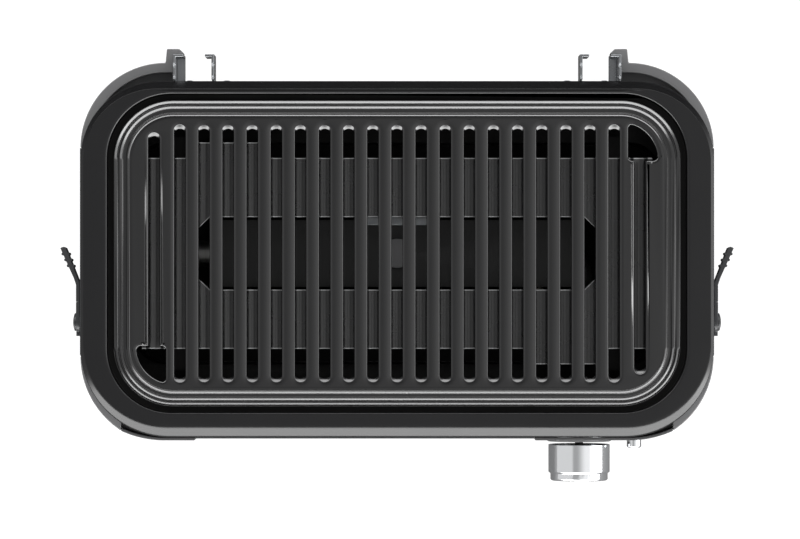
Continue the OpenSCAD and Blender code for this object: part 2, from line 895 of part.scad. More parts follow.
// Grip: from the strap it bends outwards to a finger end with ribs on both faces
module left_latch_grip() {
    half = (latch_t + grip_thick) / 2;
    tip_x = -strap_in - grip_out;
    inner = [[-strap_in, grip_bend - grip_thick], [tip_x + half, grip_tip - grip_round]];
    outer = [[-strap_out - grip_thick, grip_bend + grip_thick], [tip_x - half, grip_tip - grip_round]];
    color("#232427") difference() {
        prism(latch_z - latch_h / 2, latch_z + latch_h / 2) {
            polygon([
                [-strap_in, strap_back + fit / 2], inner[0], inner[1], [tip_x, grip_tip],
                outer[1], outer[0], [-strap_out, grip_bend - 2 * grip_thick],
                [-strap_out, strap_back + fit / 2]
            ]);
            for (edge = [inner, outer], i = [1:grip_ribs])
                translate(edge[1] + unit(edge[0] - edge[1]) * i * grip_rib_step) circle(r = grip_rib_r);
        }
        translate([-strap_in - tongue_t - fit / 2, strap_back - over, tongue_low_z])
            cube([tongue_t + fit / 2 + over, tongue_l + over + fit, latch_h - 2 * tongue_t + fit]);
    }
}
tongue_low_z = latch_z - latch_h / 2 + tongue_t - fit / 2;
grip_thick = 1.6;
grip_round = 1;
grip_ribs = 3;
grip_rib_step = 4.8;
grip_rib_r = 1.1;

module right_latch_strap() {
    mirrored() left_latch_strap();
}

module right_latch_grip() {
    mirrored() left_latch_grip();
}

// Carries a profile round a rounded rectangle: x = 0 of the profile runs on its outline
module swept_ring(w, d, r) {
    for (a = [0:3]) {
        sx = (a == 0 || a == 3) ? 1 : -1;
        sy = a < 2 ? 1 : -1;
        translate([sx * (w / 2 - r), grate_y + sy * (d / 2 - r), 0])
            rotate([0, 0, a * 90]) rotate_extrude(angle = 90) translate([r, 0]) children();
        long = a % 2 == 0 ? d : w;
        wide = a % 2 == 0 ? w : d;
        translate([0, grate_y, 0]) rotate([0, 0, a * 90])
            translate([wide / 2, long / 2 - r, 0]) rotate([90, 0, 0]) linear_extrude(long - 2 * r) children();
    }
}

// Profile of a bead of the given width and height that starts at a distance from the plate's edge
module bead(from, w, h) {
    translate([-from, plate_top_z]) polygon(concat(
        [[0, -bead_root]], [for (p = bead_shares) [-p.x * w, p.y * h]], [[-w, -bead_root]]
    ));
}
bead_root = 0.5;
bead_shares = [[0, 0], [0.2, 0.8], [0.5, 1], [0.8, 0.8], [1, 0]];

// Middle of slot i, counted from the middle slot; the outermost ones stand a little further out
function slot_x(i) = i * slot_pitch + (abs(i) == slot_n ? sign(i) * slot_end_extra : 0);
slot_side = 30;
slot_n = floor((plate_w / 2 - slot_side) / slot_pitch);
slot_l = plate_d - 2 * slot_end;
slot_end_extra = 1.3;
slot_end_cut = 6;

// Corner opening at the front left: it takes in the first slot and follows the plate's corner
module corner_opening() {
    w = corner_left + corner_right;
    intersection() {
        translate([-slot_x(slot_n) - corner_left, grate_y - slot_l / 2]) {
            translate([corner_r, 0]) square([w - 2 * corner_r, corner_d]);
            translate([0, corner_r]) square([w, corner_d - 2 * corner_r]);
            for (x = [corner_r, w - corner_r], y = [corner_r, corner_d - corner_r])
                translate([x, y]) circle(corner_r);
        }
        translate([plate_r - plate_w / 2, grate_y + plate_r - plate_d / 2]) circle(plate_r - corner_edge);
    }
}
corner_r = 3;
corner_left = 13;
corner_right = 8.6;
corner_d = 26;
corner_edge = 16.7;

module slots() {
    for (i = [-slot_n:slot_n]) {
        cut_low = i == slot_n ? slot_end_cut : 0;
        cut_high = i == -slot_n ? slot_end_cut : 0;
        y0 = grate_y - slot_l / 2 + cut_low + slot_w / 2;
        y1 = grate_y + slot_l / 2 - cut_high - slot_w / 2;
        translate([slot_x(i) - slot_w / 2, y0]) square([slot_w, y1 - y0]);
        translate([slot_x(i), y0]) circle(slot_w / 2);
        translate([slot_x(i), y1]) circle(slot_w / 2);
    }
    corner_opening();
    translate([0, 2 * grate_y]) rotate([0, 0, 180]) corner_opening();
}

module grill_plate() {
    color("#303235") difference() {
        union() {
            prism(plate_top_z - plate_t, plate_top_z) grate_plan(plate_w, plate_d, plate_r);
            prism(shelf_z, plate_top_z - plate_t) difference() {
                grate_plan(plate_w, plate_d, plate_r);
                grate_plan(plate_w - 2 * seat_w, plate_d - 2 * seat_w, plate_r - seat_w);
            }
            swept_ring(plate_w, plate_d, plate_r) {
                bead(0, edge_bead_w, edge_bead_h);
                bead(edge_bead_w, step_bead_w, step_bead_h);
                bead(inner_bead_at, inner_bead_w, inner_bead_h);
            }
        }
        swept_ring(plate_w, plate_d, plate_r) translate([edge_groove_w - inner_bead_at, plate_top_z])
            polygon([
                [0, over], [0, 0], [-edge_groove_w / 2, -edge_groove_deep],
                [-edge_groove_w, 0], [-edge_groove_w, over]
            ]);
        prism(plate_top_z - plate_t - over, plate_top_z + over) slots();
    }
}
seat_w = 4;
edge_bead_w = 3;
edge_bead_h = 1.6;
step_bead_w = 2.4;
step_bead_h = 1.1;
edge_groove_w = 3.4;
edge_groove_deep = 0.9;
inner_bead_w = 3.6;
inner_bead_h = 1.2;
inner_bead_at = edge_bead_w + step_bead_w + edge_groove_w;

// Profile of the gutter plate across the slots: a valley below each slot, a ridge below each bar
module gutter_profile() {
    top = [
        for (i = [-slot_n:slot_n], p = valley_shares) [slot_x(i) + p.x * valley_half, -p.y * valley_h]
    ];
    n = len(top);
    polygon(concat(
        [[-gutter_w / 2, 0]], top, [[gutter_w / 2, 0], [gutter_w / 2, -gutter_t]],
        [for (i = [n - 1:-1:0]) [top[i].x, top[i].y - gutter_t]], [[-gutter_w / 2, -gutter_t]]
    ));
}
valley_half = 6.6;
valley_shares = [[-1, 0], [-0.78, 0.45], [-0.56, 0.9], [0, 1], [0.56, 0.9], [0.78, 0.45], [1, 0]];

module gutter_outline() {
    difference() {
        union() {
            translate([-gutter_w / 2, grate_y - gutter_d / 2]) square([gutter_w, gutter_d]);
            for (s = [-1, 1])
                translate([s * tab_share * gutter_w / 2, grate_y - s * (gutter_d / 2 + tab_out) / 2])
                    square([tab_w, gutter_d / 2 + tab_out], center = true);
        }
        translate([0, grate_y]) intersection() {
            square([flame_l, flame_w], center = true);
            rotate(45) square((flame_l + flame_w - 2 * flame_chamfer) / sqrt(2), center = true);
        }
    }
}
flame_chamfer = 8;

module gutter_plate() {
    color("#2a2b2e") intersection() {
        translate([0, grate_y + plate_d / 2, gutter_ridge_z]) rotate([90, 0, 0])
            linear_extrude(plate_d) gutter_profile();
        prism(gutter_base_z - over, gutter_ridge_z + over) gutter_outline();
    }
}

// Four clips that stand on the ledge and reach in under the gutter plate
module gutter_rests() {
    color("#232427") both() for (s = [-1, 1]) {
        y0 = burner_box_d / 2 + rest_step;
        y1 = gutter_d / 2 - rest_reach;
        translate([rest_x - rest_w / 2, grate_y, 0]) mirror([0, s < 0 ? 1 : 0, 0]) {
            translate([0, y0, ledge_z]) cube([rest_w, rest_reach + sheet_t, sheet_t]);
            translate([0, y0, ledge_z]) cube([rest_w, sheet_t, gutter_base_z - ledge_z]);
            translate([0, y1, gutter_base_z - sheet_t]) cube([rest_w, y0 - y1 + sheet_t, sheet_t]);
        }
    }
}
rest_x = slot_x(slot_n - 1);
rest_w = 12;
rest_step = 3;
rest_reach = 4;

module burner_cover() {
    color("#1d1e20") {
        difference() {
            translate([-cover_w / 2, grate_y - cover_d / 2, cover_z - cover_lip])
                cube([cover_w, cover_d, cover_lip + cover_t]);
            translate([-cover_w / 2 - over, grate_y - cover_d / 2 + cover_t, cover_z - cover_lip - over])
                cube([cover_w + 2 * over, cover_d - 2 * cover_t, cover_lip + over]);
        }
        translate([0, grate_y, cover_z]) cylinder(r = boss_top_r, h = cover_t + boss_up);
    }
}
boss_up = 3;

module cover_bracket() {
    x = bracket_w / 2;
    y = grate_y + cover_d / 2 + fit / 2;
    color("#8f9296") {
        translate([-x, y, firebox_z + sheet_t])
            cube([2 * x, sheet_t, cover_z + cover_t + fit - firebox_z]);
        translate([-x, y - bracket_flange, cover_z + cover_t + fit])
            cube([2 * x, bracket_flange + sheet_t, sheet_t]);
        translate([-x, y, firebox_z + sheet_t]) cube([2 * x, 2 * bracket_flange, sheet_t]);
    }
}
bracket_w = 46;
bracket_flange = 4;

module cover_stands() {
    color("#77797c") both() translate([stand_x, grate_y, 0]) {
        for (s = [-1, 1]) {
            translate([0, s * stand_y - sheet_t / 2, firebox_z + sheet_t])
                cube([stand_w, sheet_t, cover_z - firebox_z - sheet_t]);
            translate([0, s * stand_y - (s < 0 ? stand_foot : 0), firebox_z + sheet_t])
                cube([stand_w, stand_foot, sheet_t]);
        }
        translate([0, -stand_y, cover_z - sheet_t]) cube([stand_w, 2 * stand_y, sheet_t]);
    }
}
stand_in = 45;
stand_x = cover_w / 2 - stand_in;
stand_side = 6;
stand_y = cover_d / 2 - stand_side;
stand_w = 12;
stand_foot = 6;

module burner_tube() {
    right = knob_x - elbow_r;
    color("#b9bcc0") difference() {
        translate([burner_left, grate_y, burner_z]) rotate([0, 90, 0])
            cylinder(r = burner_r, h = right - burner_left);
        translate([burner_left + burner_wall, grate_y, burner_z]) rotate([0, 90, 0])
            cylinder(r = burner_r - burner_wall, h = right - burner_left);
        for (i = [0:port_n - 1], s = [-1, 1])
            translate([burner_left + port_edge + i * port_pitch, grate_y, burner_z])
                rotate([s * port_tilt, 0, 0]) cylinder(r = port_r, h = 2 * burner_r);
    }
}
port_edge = 14;
port_pitch = 11;
port_n = 1 + floor((knob_x - elbow_r - burner_left - 2 * port_edge) / port_pitch);
port_r = 1;
port_tilt = 50;

module burner_elbow() {
    color("#b9bcc0") {
        translate([knob_x - elbow_r, grate_y - elbow_r, burner_z]) rotate_extrude(angle = 90)
            translate([elbow_r, 0]) difference() {
                circle(burner_r);
                circle(burner_r - burner_wall);
            }
        difference() {
            union() {
                to_front(knob_x, grate_y - elbow_r, burner_z)
                    cylinder(r = burner_r, h = grate_y - elbow_r - venturi_front);
                to_front(knob_x, venturi_front + venturi_l, burner_z) cylinder(r = venturi_r, h = venturi_l);
            }
            to_front(knob_x, grate_y - elbow_r + over, burner_z)
                cylinder(r = burner_r - burner_wall, h = rim_d);
            to_front(knob_x, venturi_front + venturi_l - burner_wall, burner_z)
                cylinder(r = venturi_r - burner_wall, h = venturi_l);
        }
    }
}
venturi_l = 22;

module burner_saddles() {
    color("#77797c") for (x = saddles_x) difference() {
        translate([x, grate_y - burner_r - saddle_side, firebox_z + sheet_t])
            cube([sheet_t, 2 * (burner_r + saddle_side), burner_z - firebox_z - sheet_t]);
        translate([x - over, grate_y, burner_z]) rotate([0, 90, 0])
            cylinder(r = burner_r + run_fit, h = sheet_t + 2 * over);
    }
}
saddle_in = 24;
saddle_end = 56.5;
saddles_x = [burner_left + saddle_in, knob_x - elbow_r - saddle_end];
saddle_side = 4;

module gas_valve() {
    color("#b08d4a") difference() {
        union() {
            translate([knob_x - valve_w / 2, valve_front, knob_z - valve_w / 2])
                cube([valve_w, valve_back - valve_front, valve_w]);
            to_front(knob_x, valve_front + over, knob_z)
                cylinder(r = neck_r, h = valve_front - casing_front + over);
            translate([knob_x - valve_screw_x - nut_r, casing_front + casing_t, knob_z - valve_w / 2])
                cube([2 * (valve_screw_x + nut_r), pan_t, valve_w]);
        }
        to_front(knob_x, stem_back + spring_room, knob_z)
            cylinder(r = stem_r + run_fit, h = stem_back + spring_room - fascia_y);
        for (s = [-1, 1]) to_front(knob_x + s * valve_screw_x, valve_front, knob_z)
            cylinder(r = screw_r + run_fit, h = rim_h);
    }
}
spring_room = 6.5;
spring_wire = 0.6;

module valve_screws() {
    color("#9a9da0") for (s = [-1, 1]) {
        to_front(knob_x + s * valve_screw_x, casing_front, knob_z)
            cylinder(r = screw_head_r, h = screw_head_h);
        to_front(knob_x + s * valve_screw_x, casing_front + casing_t + pan_t + over, knob_z)
            cylinder(r = screw_r, h = casing_t + pan_t + over);
    }
}

module gas_nozzle() {
    color("#c2a05a") difference() {
        to_front(knob_x, valve_back + nozzle_l, knob_z) cylinder(r = nozzle_r, h = nozzle_l);
        to_front(knob_x, valve_back + nozzle_l + over, knob_z) cylinder(r = jet_r, h = nozzle_l + 2 * over);
    }
}
jet_r = 0.6;

// Inlet: a pipe down from the valve through the bottom pan to a threaded end under the grill
module gas_inlet() {
    color("#c2a05a") translate([knob_x, inlet_y, 0]) difference() {
        union() {
            translate([0, 0, inlet_low_z]) cylinder(r = inlet_r, h = knob_z - valve_w / 2 - inlet_low_z);
            translate([0, 0, inlet_low_z]) cylinder(r = inlet_thread_r, h = inlet_thread_l);
            translate([0, 0, inlet_low_z + inlet_thread_l])
                cylinder(r = inlet_nut_r, h = inlet_nut_h, $fn = 6);
        }
        translate([0, 0, inlet_low_z - over]) cylinder(r = inlet_bore_r, h = inlet_thread_l + over);
    }
}
inlet_drop = 28;
inlet_low_z = pan_z - inlet_drop;
inlet_nut_r = 10;
inlet_nut_h = 6;
inlet_thread_r = 8;
inlet_thread_l = 16;
inlet_bore_r = 3;

module valve_stem() {
    color("#1a1a1b") to_front(knob_x, stem_back, knob_z) cylinder(r = stem_r, h = stem_back - stem_front);
}

// Return spring behind the stem, at the length that it has when the knob is pushed
module valve_spring() {
    r = stem_r - 1.5 * spring_wire;
    run = spring_room - knob_push - 2 * spring_wire;
    n = spring_turns * spring_steps;
    color("#a9acb0") tube([
        for (i = [0:n]) [
            knob_x + r * cos(360 * i / spring_steps), stem_back + spring_wire / 2 + run * i / n,
            knob_z + r * sin(360 * i / spring_steps)
        ]
    ], spring_wire / 2, 6, [0, 1, 0]);
}
spring_turns = 3;
spring_steps = 12;

module spindle_washer() {
    color("#8d9094") to_front(knob_x, panel_front + over, knob_z) difference() {
        cylinder(r = spindle_washer_r, h = spindle_washer_t);
        translate([0, 0, -over]) cylinder(r = stem_r + run_fit, h = spindle_washer_t + 2 * over);
    }
}
spindle_washer_r = 6.5;
spindle_washer_t = 0.5;

module knob_bezel() {
    color("#2d2e31") to_front(knob_x, panel_front, knob_z) difference() {
        cylinder(r = bezel_r, h = bezel_t);
        translate([0, 0, -over]) cylinder(r = pass_r, h = bezel_t + 2 * over);
    }
}

// Chrome shell of the knob, open towards the panel, with a narrower band at its face
module knob() {
    r = knob_d / 2;
    color("#d9dce0") to_front(knob_x, knob_back, knob_z) rotate_extrude() polygon([
        [r - knob_wall, 0], [r, 0], [r, knob_l - knob_band],
        [r - knob_step, knob_l - knob_band + knob_step / 2],
        [r - knob_step, knob_l - knob_edge], [r - knob_step - knob_edge, knob_l], [0, knob_l],
        [0, knob_l - knob_face_t], [r - knob_wall - knob_step, knob_l - knob_face_t],
        [r - knob_wall - knob_step, knob_l - knob_band], [r - knob_wall, knob_l - knob_band - knob_step]
    ]);
}
knob_step = 1.5;
knob_edge = 1;

module knob_insert() {
    color("#1a1a1b") to_front(knob_x, knob_back - insert_in, knob_z) difference() {
        cylinder(r = insert_r, h = knob_l - knob_face_t - insert_in);
        translate([0, 0, -over])
            cylinder(r = stem_r + run_fit, h = knob_back - insert_in - stem_front + over + fit);
    }
}
insert_r = 8;
insert_in = 1;

module igniter_body() {
    color("#1f2022") difference() {
        union() {
            to_front(igniter_x, piezo_back, knob_z) cylinder(r = piezo_r, h = piezo_back - casing_front);
            to_front(igniter_x, casing_front + casing_t + piezo_flange_y, knob_z)
                cylinder(r = piezo_flange_r, h = pan_t);
        }
        to_front(igniter_x, button_back + button_push + fit, knob_z)
            cylinder(r = button_d / 2 + run_fit, h = piezo_l);
    }
}
piezo_flange_y = 6;

module igniter_button() {
    color("#d9dce0") to_front(igniter_x, button_back, knob_z)
        cylinder(r = button_d / 2, h = button_back - panel_front + button_out);
}

// Insulated lead from the igniter over the venturi to the electrode
module ignition_lead() {
    color("#b5452f") tube(lead_points, lead_r, 8, [0, 0, 1]);
}
electrode_side = 30;
electrode_front = 24;
electrode_up = 6;
electrode_x = knob_x - electrode_side;
electrode_y = grate_y - electrode_front;
electrode_z = burner_z + electrode_up;
electrode_l = 22;
electrode_r = 3;
spark_gap = 3;
lead_straight = 13;
lead_gap = 3;
lead_over_z = burner_z + venturi_r + lead_gap;
lead_shares = [
    [0, 0, 0], [0.04, 0.22, 0.25], [0.14, 0.37, 0.8], [0.3, 0.47, 1],
    [0.59, 0.47, 1], [0.84, 0.47, 1], [0.96, 0.53, 0.87], [1, 0.72, 0.57]
];
lead_start = [igniter_x, piezo_back + lead_straight, knob_z];
lead_end = [electrode_x, electrode_y - electrode_l, electrode_z];
lead_run = [lead_end.x - lead_start.x, lead_end.y - lead_start.y, lead_over_z - knob_z];
lead_points = concat(
    [[igniter_x, piezo_back, knob_z]],
    [for (p = lead_shares) lead_start + [p.x * lead_run.x, p.y * lead_run.y, p.z * lead_run.z]],
    [[lead_end.x, lead_end.y - 2 * lead_r, lead_end.z], lead_end]
);

module spark_electrode() {
    color("#e8e4da") to_front(electrode_x, electrode_y, electrode_z)
        cylinder(r = electrode_r, h = electrode_l);
    color("#a9acb0") to_front(electrode_x, grate_y - burner_r - spark_gap, electrode_z)
        cylinder(r = lead_r / 2, h = grate_y - burner_r - spark_gap - electrode_y + over);
}

module electrode_bracket() {
    y = electrode_y - electrode_l / 2;
    color("#77797c") difference() {
        translate([electrode_x - stand_w / 2, y, firebox_z + sheet_t])
            cube([stand_w, sheet_t, electrode_z + stand_foot - firebox_z - sheet_t]);
        to_front(electrode_x, grate_y, electrode_z) cylinder(r = electrode_r + run_fit, h = burner_box_d);
    }
}

module drip_tray() {
    y0 = drawer_face_y + drawer_face_t;
    x0 = drawer_x - tray_w / 2;
    z0 = tray_top_z - tray_h;
    color("#77797c") difference() {
        union() {
            translate([x0, y0, z0]) cube([tray_w, tray_d, tray_h]);
            translate([x0 - tray_flange, y0, tray_top_z - tray_wall])
                cube([tray_w + 2 * tray_flange, tray_d, tray_wall]);
        }
        translate([x0 + tray_wall, y0 + tray_wall, z0 + tray_wall])
            cube([tray_w - 2 * tray_wall, tray_d - 2 * tray_wall, tray_h]);
    }
}

module drawer_front() {
    color("#2b2c2f") difference() {
        translate([drawer_left, drawer_face_y, fascia_low_z])
            cube([drawer_right - drawer_left, drawer_face_t, drawer_top_z - fascia_low_z]);
        translate([drawer_x, drawer_face_y - over, fascia_low_z - notch_drop]) rotate([-90, 0, 0])
            cylinder(r = notch_r, h = drawer_face_t + 2 * over);
    }
}
notch_r = 40;
notch_drop = 31;

// Runner: a channel under the bottom pan; its lip carries the tray's flange
module runner(x, s) {
    y0 = casing_front + runner_in;
    drop = pan_z - tray_top_z + tray_wall + run_fit;
    color("#8d9094") translate([x, y0, 0]) mirror([s < 0 ? 1 : 0, 0, 0]) {
        translate([-runner_t, 0, pan_z - drop - runner_t]) cube([runner_t, tray_d, drop + runner_t]);
        translate([-runner_t, 0, pan_z - drop - runner_t]) cube([runner_lip, tray_d, runner_t]);
        translate([-runner_t, 0, pan_z - runner_t]) cube([runner_lip, tray_d, runner_t]);
    }
}

module left_runner() {
    runner(drawer_x - tray_w / 2 - tray_flange - fit, 1);
}

module right_runner() {
    runner(drawer_x + tray_w / 2 + tray_flange + fit, -1);
}

rim_frame();
firebox();
firebox_spacers();
casing();
base_pan();
front_panel();
front_left_fascia();
control_panel();
left_side_panel();
right_side_panel();
front_left_leg();
front_right_leg();
rear_left_leg();
rear_right_leg();
rubber_feet();
leg_bolts();
leg_nuts();
left_hinge_outer_plate();
left_hinge_inner_plate();
right_hinge_outer_plate();
right_hinge_inner_plate();
hinge_rivets();
side_panel_screws();
left_latch_pivot();
right_latch_pivot();
left_latch_washer();
right_latch_washer();
left_latch_strap();
left_latch_grip();
right_latch_strap();
right_latch_grip();
grill_plate();
gutter_plate();
gutter_rests();
burner_cover();
cover_bracket();
cover_stands();
burner_tube();
burner_elbow();
burner_saddles();
gas_valve();
valve_screws();
gas_nozzle();
gas_inlet();
valve_stem();
valve_spring();
spindle_washer();
knob_bezel();
knob();
knob_insert();
igniter_body();
igniter_button();
ignition_lead();
spark_electrode();
electrode_bracket();
drip_tray();
drawer_front();
left_runner();
right_runner();
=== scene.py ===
import math

import bmesh
import bpy
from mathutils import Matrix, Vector
from mathutils.geometry import tessellate_polygon


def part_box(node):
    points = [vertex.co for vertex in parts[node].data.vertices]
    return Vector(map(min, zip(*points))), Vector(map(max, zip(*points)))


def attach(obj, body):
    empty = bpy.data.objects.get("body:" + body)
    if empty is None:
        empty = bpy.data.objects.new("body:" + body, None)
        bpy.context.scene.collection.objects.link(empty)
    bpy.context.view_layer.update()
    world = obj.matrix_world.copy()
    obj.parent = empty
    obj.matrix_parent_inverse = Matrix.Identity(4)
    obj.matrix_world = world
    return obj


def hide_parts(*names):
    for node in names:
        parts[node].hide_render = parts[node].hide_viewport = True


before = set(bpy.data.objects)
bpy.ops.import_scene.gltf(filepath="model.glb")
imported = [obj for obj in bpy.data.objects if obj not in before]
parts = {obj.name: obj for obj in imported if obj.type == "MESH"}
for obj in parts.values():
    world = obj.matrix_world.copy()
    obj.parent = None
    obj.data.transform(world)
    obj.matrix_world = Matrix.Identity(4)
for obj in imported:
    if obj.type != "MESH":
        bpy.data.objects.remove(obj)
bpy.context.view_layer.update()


# Studio. A camera on a stand looks straight down at the open grill from three and a half metres.
# The grill stands on a pale table. A long window of light curves round its front and a weaker one
# stands behind it; the room is light at the right, grey at the left and overhead, and dark low behind.
def linear(hex_colour):
    """Turns an sRGB hex colour to linear light"""
    shares = [int(hex_colour[i : i + 2], 16) / 255 for i in (1, 3, 5)]
    return [s / 12.92 if s <= 0.04045 else ((s + 0.055) / 1.055) ** 2.4 for s in shares] + [1.0]


def add(tree, kind, settings, inputs):
    """Adds a node; an input is a value or the socket that feeds it"""
    node = tree.nodes.new(kind)
    for name, value in settings.items():
        setattr(node, name, value)
    for key, value in inputs.items():
        if isinstance(value, bpy.types.NodeSocket):
            tree.links.new(value, node.inputs[key])
        else:
            node.inputs[key].default_value = value
    return node


scene = bpy.context.scene
scene.view_settings.view_transform = "Standard"
lens = bpy.data.cameras.new("camera")
lens.lens = 213.7
lens.sensor_width = 36
lens.shift_x = 0.0037
lens.shift_y = -0.0093
camera = bpy.data.objects.new("camera", lens)
camera.location = (0, 0.0029, 3.64)
scene.collection.objects.link(camera)
scene.camera = camera

room = bpy.data.worlds.new("room")
scene.world = room
room.use_nodes = True
tree = room.node_tree
ray = add(tree, "ShaderNodeLightPath", {}, {})
way = add(tree, "ShaderNodeTexCoord", {}, {})
toward = add(tree, "ShaderNodeSeparateXYZ", {}, {0: way.outputs["Generated"]})
rightward, rearward, upward = toward.outputs["X"], toward.outputs["Y"], toward.outputs["Z"]
window_way = {0: way.outputs["Generated"], 1: (0.08, -1, 0)}
forward = add(tree, "ShaderNodeVectorMath", {"operation": "DOT_PRODUCT"}, window_way).outputs["Value"]

# Soft edges: the way each one follows, where it starts and ends there, and its value before and after
edges = {
    "window sill": (upward, 0.04, 0.2, 0, 1),
    "window top": (upward, 0.52, 0.66, 1, 0),
    "window ends": (forward, 0.3, 0.5, 0, 1),
    "rear sill": (upward, 0.28, 0.44, 0, 1),
    "rear top": (upward, 0.7, 0.85, 1, 0),
    "rear ends": (rearward, 0.3, 0.55, 0, 1),
    "room": (rightward, -0.2, 0.45, 0.45, 1.1),
    "room left": (rightward, -0.5, -0.35, 0.36, 0),
    "room right": (rightward, 0.6, 0.85, 0, 2.6),
    "room rear": (rearward, -0.1, 0.6, 1, 0.06),
}
lights = {}
for name, (value, low, high, start, end) in edges.items():
    step = {"Value": value, "From Min": low, "From Max": high, "To Min": start, "To Max": end}
    edge = add(tree, "ShaderNodeMapRange", {"interpolation_type": "SMOOTHSTEP"}, step)
    lights[name] = edge.outputs["Result"]
# Strength as soft light, and as what a glossy surface mirrors
for name, soft, mirrored in (("window glow", 4.4, 9.0), ("rear glow", 2.8, 6.0)):
    shares = {"Factor": ray.outputs["Is Glossy Ray"], "A": soft, "B": mirrored}
    lights[name] = add(tree, "ShaderNodeMix", {}, shares).outputs[0]
# Each row works out a value from two others
for name, operation, a, b in (
    ("window", "MULTIPLY", "window sill", "window top"),
    ("window", "MULTIPLY", "window", "window ends"),
    ("window", "MULTIPLY", "window", "window glow"),
    ("rear window", "MULTIPLY", "rear sill", "rear top"),
    ("rear window", "MULTIPLY", "rear window", "rear ends"),
    ("rear window", "MULTIPLY", "rear window", "rear glow"),
    ("windows", "ADD", "window", "rear window"),
    ("room", "ADD", "room", "room left"),
    ("room", "ADD", "room", "room right"),
    ("room", "MULTIPLY", "room", "room rear"),
):
    result = add(tree, "ShaderNodeMath", {"operation": operation}, {0: lights[a], 1: lights[b]})
    lights[name] = result.outputs[0]
soft_room = 0.46
shares = {"Factor": ray.outputs["Is Glossy Ray"], "A": soft_room, "B": lights["room"]}
seen = add(tree, "ShaderNodeMix", {}, shares)
lit = add(tree, "ShaderNodeMath", {"operation": "ADD"}, {0: seen.outputs[0], 1: lights["windows"]})
straight = add(
    tree,
    "ShaderNodeMath",
    {"operation": "MAXIMUM"},
    {0: ray.outputs["Is Camera Ray"], 1: ray.outputs["Is Transmission Ray"]},
)
shown = add(tree, "ShaderNodeMix", {}, {"Factor": straight.outputs[0], "A": lit.outputs[0], "B": 1.0})
background = tree.nodes["Background"]
tree.links.new(shown.outputs[0], background.inputs["Strength"])
background.inputs["Color"].default_value = (1, 1, 1, 1)

table_r, table_glow = 1.6, 0.86
floor_mesh = bpy.data.meshes.new("floor")
work = bmesh.new()
bmesh.ops.create_circle(work, cap_ends=True, segments=96, radius=table_r)
work.to_mesh(floor_mesh)
work.free()
floor = bpy.data.objects.new("floor", floor_mesh)
scene.collection.objects.link(floor)
# Pale matt board: near white to the camera, and it still takes the grill's shadow
table = bpy.data.materials.new("pale_table")
table.use_nodes = True
tree = table.node_tree
board = tree.nodes["Principled BSDF"]
board.inputs["Base Color"].default_value = linear("#8a8a8a")
board.inputs["Roughness"].default_value = 0.9
ray = add(tree, "ShaderNodeLightPath", {}, {})
only_seen = {0: ray.outputs["Is Camera Ray"], 1: table_glow}
glow = add(tree, "ShaderNodeMath", {"operation": "MULTIPLY"}, only_seen)
board.inputs["Emission Color"].default_value = (1, 1, 1, 1)
tree.links.new(glow.outputs[0], board.inputs["Emission Strength"])
floor_mesh.materials.append(table)


# Firebox: a pressed steel trough, enamelled black, which hangs by its flange under the rim and stands
# on four spacers. The galvanised bottom pan closes the casing under it.
mm = 0.001
weld, flat_angle, sharp_angle = 0.004 * mm, math.radians(1.5), math.radians(32)


# Real grain and brushing are too fine to show from this far, so each is drawn at 0.3 mm or more
def finish(name, colour, shade, rough, grain, depth, metallic=0.0, stretch=(1, 1, 1), patch=40, gleam=0.5):
    """A surface with grain of a size and depth in mm, whose colour and gloss drift over a longer patch"""
    skin = bpy.data.materials.new(name)
    skin.use_nodes = True
    tree = skin.node_tree
    shader = tree.nodes["Principled BSDF"]
    shader.inputs["Metallic"].default_value = metallic
    shader.inputs["Specular IOR Level"].default_value = gleam
    place = add(tree, "ShaderNodeTexCoord", {}, {})
    drawn = add(tree, "ShaderNodeMapping", {}, {"Vector": place.outputs["Object"], "Scale": stretch})
    cloud = add(
        tree, "ShaderNodeTexNoise", {}, {"Vector": drawn.outputs[0], "Scale": 1000 / patch, "Detail": 4.0}
    )
    grit = add(
        tree, "ShaderNodeTexNoise", {}, {"Vector": drawn.outputs[0], "Scale": 1000 / grain, "Detail": 2.0}
    )
    tone = add(
        tree,
        "ShaderNodeMix",
        {"data_type": "RGBA"},
        {0: cloud.outputs[0], 6: linear(colour), 7: linear(shade)},
    )
    gloss = add(
        tree,
        "ShaderNodeMapRange",
        {},
        {"Value": cloud.outputs[0], "From Min": 0.3, "From Max": 0.7, "To Min": rough[0], "To Max": rough[1]},
    )
    relief = {"Strength": 1.0, "Distance": depth * mm, "Height": grit.outputs[0]}
    dents = add(tree, "ShaderNodeBump", {}, relief)
    tree.links.new(tone.outputs[2], shader.inputs["Base Color"])
    tree.links.new(gloss.outputs[0], shader.inputs["Roughness"])
    tree.links.new(dents.outputs[0], shader.inputs["Normal"])
    return skin


def dress(skin, *names):
    """Gives CAD pieces their finish"""
    for name in names:
        for slot in parts[name].material_slots:
            slot.material = skin


def settle(piece):
    """Turns what the modifiers make of a piece into its plain mesh"""
    bpy.context.view_layer.update()
    made = piece.evaluated_get(bpy.context.evaluated_depsgraph_get())
    mesh = bpy.data.meshes.new_from_object(made)
    piece.modifiers.clear()
    piece.data = mesh


def mount(piece, skin, body, slot, *nodes):
    """Gives a piece its finish and its body, and hides the CAD nodes that it stands for"""
    if not piece.data.materials:
        piece.data.materials.append(skin)
    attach(piece, body)
    if nodes:
        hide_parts(*nodes)
    return piece


